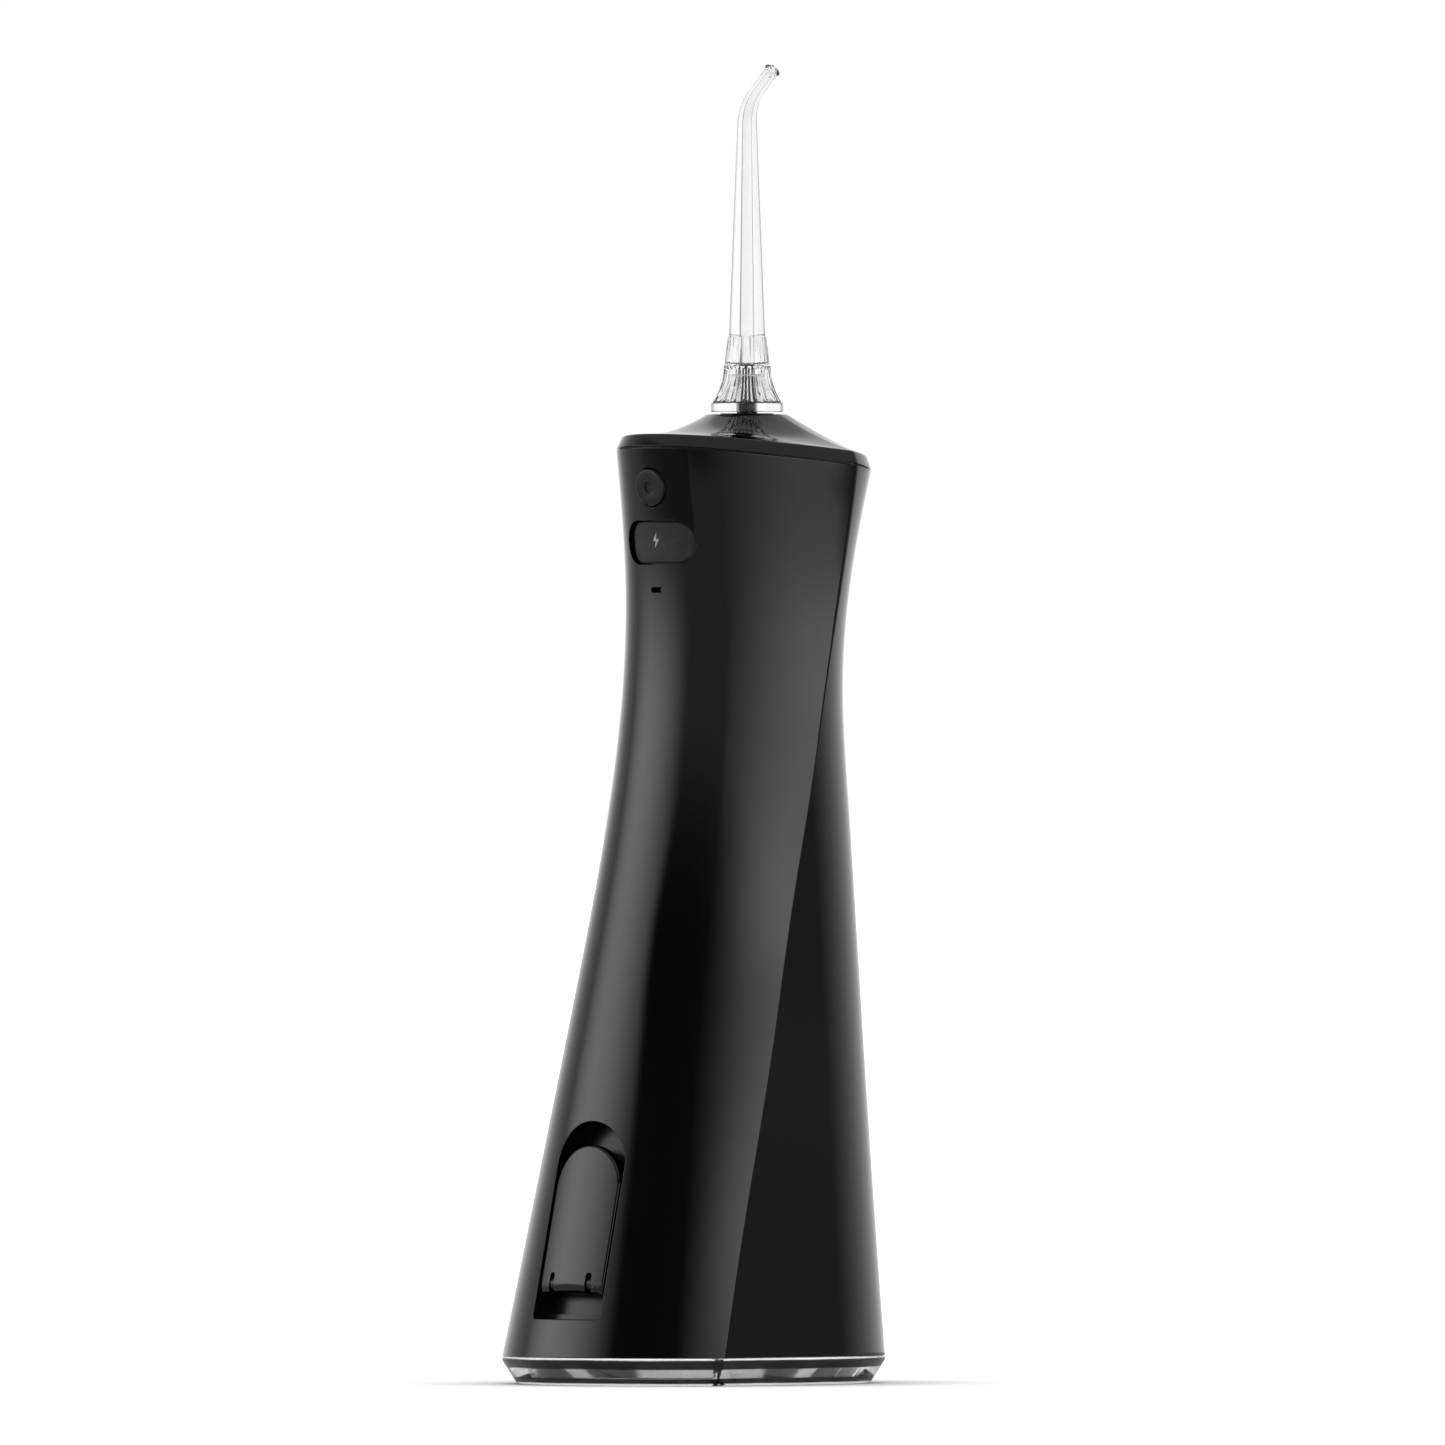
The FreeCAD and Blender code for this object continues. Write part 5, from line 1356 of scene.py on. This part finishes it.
    def build(self) -> None:
        """Make, dress and place the back's controls."""
        place(self.button(), "release", Finishes.BUTTON_SATIN, "release_button")
        place(self.cover(), "cover", Finishes.BLACK_RUBBER, "charge_cover")
        place(self.charging_mark(), "cover", Finishes.MARK)
        place(self.lens(), "housing", Finishes.LENS, "charge_lens")


# --- Front controls ------------------------------------------------------------------------------


@dataclass
class FrontControls:
    """Two round buttons and a row of light guides on the front."""

    power_z: float = 134.0 * MM
    power_radius: float = 7.0 * MM
    mode_z: float = 112.0 * MM
    mode_radius: float = 5.5 * MM
    lights_z: float = 123.5 * MM
    lights_x: tuple[float, ...] = (-4.5 * MM, -1.5 * MM, 1.5 * MM, 4.5 * MM)
    light_radius: float = 0.9 * MM
    power_flange: float = 3.72 * MM
    mode_flange: float = 3.31 * MM
    fit: float = 0.3 * MM

    def axis(self, z: float) -> tuple[Vector, Vector]:
        """The front's point and outward normal at a height."""
        step = 2 * MM
        y = [float(FORM.face_y(Side.FRONT, 0.0, z + d)) for d in (-step, 0.0, step)]
        return Vector((0, y[1], z)), Vector((0, -1, (y[2] - y[0]) / (2 * step))).normalized()

    def openings(self) -> list[bpy.types.Object]:
        """Cutters of the buttons' and light guides' holes."""
        cutters = []
        for z, radius in ((self.power_z, self.power_radius), (self.mode_z, self.mode_radius)):
            patch = circle_patch(0.0, z, radius + self.fit, Side.FRONT, 96)
            cutters.append(make_mesh("button_hole", *patch.closed(lip_layers(0.3 * MM, 3.2 * MM))))
        for x in self.lights_x:
            patch = circle_patch(x, self.lights_z, self.light_radius, Side.FRONT, 32)
            cutters.append(make_mesh("guide_hole", *patch.closed(lip_layers(0.12 * MM, 3.2 * MM))))
        return cutters

    def button(self, name: str, z: float, radius: float, depth: float) -> bpy.types.Object:
        """Push button with a shallow dished face, a rounded rim and a flange inside the wall.

        Args:
            name: the piece's name.
            z: its height.
            radius: its radius.
            depth: how far inside the face its flange starts.

        Returns:
            The button.
        """
        origin, axis = self.axis(z)
        top, foot, flange = 0.6 * MM, -depth - 1 * MM, radius + 1 * MM
        dish = [(radius * s, top - 0.25 * MM * (1 - s * s), 0.0) for s in (0, 0.15, 0.3, 0.45, 0.6, 0.75)]
        corners = dish + [(radius, top, 0.4 * MM), (radius, -depth, 0), (flange, -depth, 0.15 * MM),
                          (flange, foot, 0.15 * MM), (0, foot, 0)]
        return turned_piece(name, corners, origin, axis, 112)

    def build(self) -> None:
        """Make, dress and place the front's controls."""
        power = self.button("power", self.power_z, self.power_radius, self.power_flange)
        mode = self.button("mode", self.mode_z, self.mode_radius, self.mode_flange)
        place(power, "power", Finishes.BUTTON_SATIN, "power_button")
        place(mode, "mode", Finishes.BUTTON_SATIN, "mode_button")


# --- Nozzle --------------------------------------------------------------------------------------


@dataclass
class Nozzle:
    """Clear nozzle with its ribbed grip, collar, black core and seat.

    The profile is worked out in millimetres, and so are the sizes whose names end in _mm.
    """

    grip_foot_mm: float = 215.5
    grip_top_mm: float = 223.6
    groove_fade_mm: float = 0.35
    flutes_foot_mm: float = 223.95
    cone_top_mm: float = 230.0
    flute_share: float = 0.45
    tube_mm: tuple[float, float, float] = (4.0, 2.15, 1.5)
    bore_mm: tuple[float, float, float] = (1.4, 0.92, 0.7)
    tip_mm: float = 1.8
    outlet_mm: float = 0.5
    ribs: int = 24
    rib_depth: float = 0.45 * MM
    bend_foot: float = 276.8 * MM
    bend: float = math.radians(46.0)
    bend_radius: float = 10.0 * MM
    end: float = 7.2 * MM
    columns: int = 240

    def frame(self, s: Array) -> tuple[Array, Array]:
        """Centre line and its crosswise direction at lengths s measured up from z = 0.

        Up the axis, then round a bend towards -Y, then straight to the end.

        Args:
            s: lengths along the path.

        Returns:
            Centres, and the direction across in the plane of the bend.
        """
        arc = self.bend * self.bend_radius
        angle = np.clip((s - self.bend_foot) / self.bend_radius, 0, self.bend)
        rest = np.maximum(s - self.bend_foot - arc, 0)
        y = -self.bend_radius * (1 - np.cos(angle)) - rest * np.sin(angle)
        z = np.minimum(s, self.bend_foot) + self.bend_radius * np.sin(angle) + rest * np.cos(angle)
        zero = np.zeros_like(s)
        across = np.stack([zero, np.cos(angle), np.sin(angle)], axis=-1)
        return np.stack([zero, y, z], axis=-1), across

    def profile(self) -> tuple[Array, Array, Array]:
        """Length, radius and rib share of every row: up the outside, down the bore, round the hollow foot."""
        last = self.bend_foot + self.bend * self.bend_radius + self.end
        foot, top, cone_top, fade = self.grip_foot_mm, self.grip_top_mm, self.cone_top_mm, self.groove_fade_mm
        bend_foot, bend_top, end = self.bend_foot / MM, (last - self.end) / MM, last / MM
        tube, bent, slim = self.tube_mm
        grip_z = np.linspace(foot, top, 18)
        chord = np.array([[7.65, foot], [5.95, 219.0], [5.2, top]])
        grip_r = np.interp(grip_z, *self.arc_through(chord).T[::-1])
        ribbed = np.clip((grip_z - foot) / fade, 0, 1) * np.clip((top - grip_z) / fade, 0, 1)
        cone = rounded([(5.2, top, 0), (4.95, 223.9, 0.12), (4.25, cone_top, 0.4), (tube, 230.3, 0.2),
                        (3.9, 232.0, 0)])
        fluted = np.where((cone[:, 1] > self.flutes_foot_mm) & (cone[:, 1] < cone_top), self.flute_share, 0.0)
        tube_s = np.linspace(233.0, bend_foot, 60)
        tube_r = tube + (bent - tube) * (tube_s - cone_top) / (bend_foot - cone_top)
        bend_s = np.linspace(bend_foot, bend_top, 40)[1:]
        bend_r = bent + (slim - bent) * (bend_s - bend_s[0]) / (bend_s[-1] - bend_s[0])
        tip = rounded([(slim, end - 6.5, 0), (slim, end - 0.75, 0.1), (self.tip_mm, end - 0.4, 0.15),
                       (self.tip_mm, end, 0.18), (self.outlet_mm, end, 0.1), (self.outlet_mm, end - 2.0, 0)])
        bore_s = np.concatenate([np.linspace(end - 2.2, bend_foot, 60), np.linspace(276, 223.9, 40)])
        bore_r = np.interp(bore_s, [cone_top, bend_foot, end - 7.2], self.bore_mm)
        seat_s, seat_r = np.array([223.8, 223.8, foot]), np.array([self.bore_mm[0], 1.52, 1.92])
        hollow = rounded([(2.7, foot, 0), (2.5, 221.5, 0.3), (3.9, 221.8, 0.3), (4.7, 219.0, 1.0),
                          (6.5, foot, 0)], 8)
        s = np.concatenate([grip_z, cone[:, 1], tube_s, bend_s, tip[:, 1], bore_s, seat_s, hollow[:, 1]])
        r = np.concatenate([grip_r, cone[:, 0], tube_r, bend_r, tip[:, 0], bore_r, seat_r, hollow[:, 0]])
        rib = np.concatenate([ribbed, fluted, np.zeros(len(s) - len(ribbed) - len(fluted))])
        return s * MM, r * MM, rib

    @staticmethod
    def arc_through(points: Array, steps: int = 30) -> Array:
        """Points of the parabola through three radius and height pairs."""
        t = np.linspace(points[0, 1], points[2, 1], steps)
        fit = np.polyfit(points[:, 1], points[:, 0], 2)
        return np.stack([np.polyval(fit, t), t], axis=-1)

    def moulding(self) -> bpy.types.Object:
        """The clear nozzle as one closed surface.

        A point at turn t and length s stands at centre(s) + radius * (cos t * across + sin t * X),
        with the radius lowered in the grooves between the grip's ribs.
        """
        s, radius, rib = self.profile()
        centre, across = self.frame(s)
        t = np.linspace(0, 2 * math.pi, self.columns, endpoint=False)
        wave = 0.5 - 0.5 * np.tanh(2.6 * np.sin(self.ribs * t)) / math.tanh(2.6)
        r = radius[:, None] - self.rib_depth * rib[:, None] * wave[None, :]
        grid = centre[:, None, :] + r[..., None] * (np.cos(t)[:, None] * across[:, None, :]
                                                     + np.sin(t)[:, None] * np.array([1.0, 0, 0]))
        points, faces = looped(grid)
        return make_mesh("jet_tube", points, faces, 38.0)

    def build(self) -> None:
        """Make, dress and place the nozzle's pieces."""
        up, zero = Vector((0, 0, 1)), Vector((0, 0, 0))
        place(self.moulding(), "jet", Finishes.CLEAR, "nozzle")
        collar = [(1.92, 213.5, 0), (8.0, 213.5, 0.3), (8.0, 215.5, 0.35), (1.92, 215.5, 0)]
        core = [(0.95, 193.3, 0), (2.3, 193.3, 0.3), (2.3, 194.58, 0), (1.55, 194.58, 0), (1.55, 195.42, 0),
                (2.3, 195.42, 0), (2.3, 213.5, 0.1), (1.9, 213.5, 0), (1.9, 215.5, 0), (1.5, 223.8, 0.15),
                (0.95, 223.8, 0.05)]
        seat = [(2.4, 199.4, 0), (7.4, 199.4, 0.2), (7.4, 200.8, 0.2), (5.9, 200.8, 0.1),
                (5.9, 213.2, 0.25), (2.4, 213.2, 0.15)]
        for name, corners, body, finish, node in (
                ("collar", collar, "jet", Finishes.CLEAR, "nozzle_ring"),
                ("core", core, "jet", Finishes.BLACK_GLOSS, "nozzle_core"),
                ("bush", seat, "seat", Finishes.BLACK_SATIN, "nozzle_seat")):
            corners = [(r * MM, z * MM, c * MM) for r, z, c in corners]
            place(turned_piece(name, corners, zero, up, 128), body, finish, node)


# --- Pieces that keep their CAD mesh ----------------------------------------------------------------


@dataclass
class Inside:
    """The frame's own nodes that stay as they are and get their finish."""

    finishes: dict[Finishes, tuple[str, ...]] = field(default_factory=lambda: {
        Finishes.WELL: ("door_well",),
        Finishes.BLACK_SATIN: ("charge_well", "power_switch", "mode_switch", "plunger", "suction_filter"),
        Finishes.BLACK_RUBBER: ("cap_seal", "plunger_seal", "stem_seal"),
        Finishes.LENS: ("mode_lights",),
        Finishes.SMOKY: ("tank",),
        Finishes.WHITE: ("chassis", "latch_plate", "pump_body", "crank_gear", "connecting_rod"),
        Finishes.HOSE: ("suction_tube",),
        Finishes.STEEL: ("door_pin", "charge_socket", "motor", "motor_shaft", "gear_axle", "crank",
                         "wrist_pin"),
        Finishes.BRASS: ("pinion",),
        Finishes.BOARD: ("control_board",),
        Finishes.CELL: ("battery",),
    })

    def build(self) -> None:
        """Dress every node that is still shown."""
        for finish, names in self.finishes.items():
            for name in names:
                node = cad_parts[name]
                node.data.materials.clear()
                node.data.materials.append(finish.value.material())
                log.info("%s keeps its CAD mesh: %s", name, finish.value.name)


# --- Studio -------------------------------------------------------------------------------------------


CARD_EDGE = 6 * MM


@dataclass
class Softbox:
    """One rectangular softbox, placed by its angle from the camera's direction.

    Its brightness fades over a share of its width or height at each side, at the low one down to
    its foot level. A black card covers it below the height a + b * u + c * u * u, u metres from
    its middle.
    """

    name: str
    angle: float
    distance: float
    width: float
    low: float
    high: float
    radiance: float
    fade_left: float = 0.15
    fade_right: float = 0.15
    fade_low: float = 0.15
    fade_high: float = 0.15
    foot: float = 0.0
    mask: tuple[float, float, float] = (-1.0, 0.0, 0.0)


@dataclass
class Studio:
    """White floor and surroundings, two softboxes, and a long-lens camera level with the object.

    The surroundings' tuples are ramps: two limits of a cosine or height, and the brightness at
    each where it isn't 0 and 1.
    """

    azimuth: float = math.radians(224.0)
    lens: float = 1000.0
    sensor: float = 36.0
    frame_width: float = 317.9 * MM
    aim_right: float = -5.4 * MM
    aim_height: float = 145.2 * MM
    floor_reach: float = 0.3
    floor_lift: float = 0.62
    shadow_reach: float = 0.03
    shadow_depth: float = 2.0
    behind: tuple[float, ...] = (0.35, -1.0)
    behind_left: tuple[float, ...] = (-0.3, -0.75, 1.0, 0.6)
    panel_left: tuple[float, ...] = (-0.57, -0.54, 0.14, 0.31)
    panel_low: tuple[float, ...] = (-0.2, -0.1, 0.0, 0.31)
    panel_foot: tuple[float, ...] = (-0.186, -0.180, 0.35)
    panel_top: tuple[float, ...] = (0.2, 0.42, 1.0, 0.05)
    panel_right: tuple[float, ...] = (0.75, 1.0, 1.0, 0.6)
    foot_rise: float = 0.075
    foot_vee: float = 0.016
    overhead: tuple[float, float] = (0.45, 0.6)
    overhead_level: float = 0.55
    seen_through: tuple[float, ...] = (-0.4, -0.6)
    boxes: tuple[Softbox, ...] = (
        Softbox("left_softbox", angle=-83.5, distance=1.3, width=2.3, low=-0.10, high=0.75, radiance=2.25,
                fade_left=0.42, fade_right=0.55, fade_low=0.6, fade_high=0.12),
        Softbox("right_softbox", angle=33.0, distance=1.3, width=1.89, low=-0.12, high=0.75, radiance=2.4,
                fade_left=0.6, fade_right=0.2, fade_low=0.8, fade_high=0.33, foot=0.2,
                mask=(0.022, 0.087, -0.065)),
    )

    @property
    def toward(self) -> Vector:
        """Level direction from the object to the camera."""
        return Vector((math.sin(self.azimuth), -math.cos(self.azimuth), 0))

    @property
    def right(self) -> Vector:
        """Level direction to the image's right."""
        return Vector((math.cos(self.azimuth), math.sin(self.azimuth), 0))

    def camera(self) -> None:
        """Long lens, level, aimed beside the nozzle's axis."""
        data = bpy.data.cameras.new("camera")
        data.lens, data.sensor_width = self.lens, self.sensor
        data.clip_start, data.clip_end = 0.1, 60.0
        camera = bpy.data.objects.new("camera", data)
        distance = self.lens / self.sensor * self.frame_width
        aim = self.right * self.aim_right + Vector((0, 0, self.aim_height))
        camera.location = aim + self.toward * distance
        camera.rotation_mode = "QUATERNION"
        camera.rotation_quaternion = (-self.toward).to_track_quat("-Z", "Y")
        bpy.context.scene.collection.objects.link(camera)
        bpy.context.scene.camera = camera

    def softbox(self, box: Softbox) -> None:
        """Area light whose brightness fades towards its sides.

        Args:
            box: its place, size and brightness.
        """
        light = bpy.data.lights.new(box.name, "AREA")
        light.shape = "RECTANGLE"
        height = box.high - box.low
        light.size, light.size_y = box.width, height
        light.energy = math.pi * box.width * height
        graph = Graph(light)
        spot = graph.node("SeparateXYZ", Vector=graph.node("NewGeometry").outputs["Parametric"])
        sides = graph.math("MULTIPLY", graph.ramp(spot.outputs[0], 0.0, box.fade_left),
                           graph.ramp(spot.outputs[0], 1.0, 1.0 - box.fade_right))
        ends = graph.math("MULTIPLY", graph.ramp(spot.outputs[1], 0.0, box.fade_low, box.foot),
                          graph.ramp(spot.outputs[1], 1.0, 1.0 - box.fade_high))
        share = graph.math("MULTIPLY", sides, ends)
        across = graph.math("MULTIPLY", graph.math("SUBTRACT", spot.outputs[0], 0.5), box.width)
        level, slope, bend = box.mask
        rise = graph.math("MULTIPLY", across, graph.math("ADD", slope, graph.math("MULTIPLY", across, bend)))
        above = graph.math("SUBTRACT", graph.math("MULTIPLY", spot.outputs[1], height), rise)
        card = graph.ramp(above, level - box.low, level - box.low + CARD_EDGE)
        strength = graph.math("MULTIPLY", graph.math("MULTIPLY", share, card), box.radiance)
        emission = graph.node("Emission", Color=grey(1.0), Strength=strength)
        graph.tree.links.new(emission.outputs[0], graph.node("OutputLight").inputs[0])
        holder = bpy.data.objects.new(box.name, light)
        angle = math.radians(box.angle)
        out = self.toward * math.cos(angle) + self.right * math.sin(angle)
        holder.location = out * box.distance + Vector((0, 0, (box.low + box.high) / 2))
        holder.rotation_mode = "QUATERNION"
        holder.rotation_quaternion = (-out).to_track_quat("-Z", "Y")
        holder.visible_camera = False
        holder.visible_transmission = False
        bpy.context.scene.collection.objects.link(holder)

    def surroundings(self) -> None:
        """World: white behind the object, half bright above it, and dim on the camera's side.

        On the camera's side a dim panel fades out towards the top and ends at a low edge that
        rises to the right. Through clear plastic, what lies behind shows white.
        """
        world = bpy.data.worlds.new("surroundings")
        bpy.context.scene.world = world
        graph = Graph(world)
        direction = graph.node("TexCoord").outputs["Generated"]
        dot = {"operation": "DOT_PRODUCT"}
        facing, side = (graph.node("VectorMath", dot, i0=direction, i1=tuple(way)).outputs["Value"]
                        for way in (self.toward, self.right))
        height = graph.node("SeparateXYZ", Vector=direction).outputs[2]
        behind = graph.math("MULTIPLY", graph.ramp(facing, *self.behind), graph.ramp(side, *self.behind_left))
        panel = graph.math("MAXIMUM", graph.ramp(side, *self.panel_left), graph.ramp(height, *self.panel_low))
        low_edge = graph.math("ADD", graph.math("MULTIPLY", side, self.foot_rise),
                              graph.math("MULTIPLY", graph.math("ABSOLUTE", side), self.foot_vee))
        above_edge = graph.math("SUBTRACT", height, low_edge)
        for fade in (graph.ramp(above_edge, *self.panel_foot), graph.ramp(height, *self.panel_top),
                     graph.ramp(side, *self.panel_right)):
            panel = graph.math("MULTIPLY", panel, fade)
        around = graph.math("MAXIMUM", behind, panel)
        around = graph.math("MULTIPLY", around, graph.ramp(height, *self.overhead, 1.0, 0.0))
        around = graph.math("ADD", around, graph.ramp(height, *self.overhead, 0.0, self.overhead_level))
        rays = graph.node("LightPath").outputs
        through = graph.math("MULTIPLY", graph.ramp(facing, *self.seen_through),
                             rays["Is Transmission Ray"])
        seen = graph.math("MAXIMUM", through, rays["Is Camera Ray"])
        strength = graph.math("MAXIMUM", around, seen)
        background = graph.node("Background", Color=grey(1.0), Strength=strength)
        graph.tree.links.new(background.outputs[0], graph.node("OutputWorld").inputs[0])

    def floor(self) -> None:
        """Plain white floor that looks white to the camera, and grey only in the object's shadow."""
        reach = 30.0
        corners = [(-reach, -reach, 0), (reach, -reach, 0), (reach, reach, 0), (-reach, reach, 0)]
        mesh = bpy.data.meshes.new("floor")
        mesh.from_pydata(corners, [], [(0, 1, 2, 3)])
        floor = bpy.data.objects.new("floor", mesh)
        bpy.context.scene.collection.objects.link(floor)
        material = bpy.data.materials.new("floor")
        graph = Graph(material)
        rays = graph.node("LightPath").outputs
        shade = graph.node("AmbientOcclusion", {"samples": 16}, Distance=self.shadow_reach).outputs["AO"]
        shade = graph.math("POWER", shade, self.shadow_depth)
        seen = graph.math("MAXIMUM", graph.math("MULTIPLY", rays["Is Camera Ray"], shade),
                          rays["Is Transmission Ray"])
        diffuse = graph.node("BsdfDiffuse", Color=grey(0.8))
        place_on_floor = graph.node("NewGeometry").outputs["Position"]
        away = graph.node("VectorMath", {"operation": "LENGTH"}, i0=place_on_floor).outputs["Value"]
        level = graph.ramp(away, self.floor_reach, self.floor_reach * 4, self.floor_lift, 1.0)
        lift = graph.node("Emission", Color=grey(1.0), Strength=graph.math("MULTIPLY", seen, level))
        lit = graph.node("AddShader", i0=diffuse.outputs[0], i1=lift.outputs[0])
        far = graph.math("MULTIPLY", graph.ramp(away, self.floor_reach, self.floor_reach * 1.6),
                         rays["Is Glossy Ray"])
        clear = graph.node("BsdfTransparent")
        graph.finish(graph.node("MixShader", i0=far, i1=lit.outputs[0], i2=clear.outputs[0]))
        mesh.materials.append(material)

    def build(self) -> None:
        """Set up floor, surroundings, lights, camera and view."""
        self.floor()
        self.surroundings()
        for box in self.boxes:
            self.softbox(box)
        self.camera()
        bpy.context.scene.view_settings.view_transform = "Standard"


def main() -> None:
    """Build the flosser around its frame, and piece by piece."""
    logging.basicConfig(level=logging.INFO, format="%(name)s: %(message)s")
    door, back, front = FillDoor(), BackControls(), FrontControls()
    Housing().build([door.opening(), *back.openings(), *front.openings()])
    door.build()
    back.build()
    front.build()
    Nozzle().build()
    Inside().build()
    Studio().build()


if __name__ == "__main__":
    main()
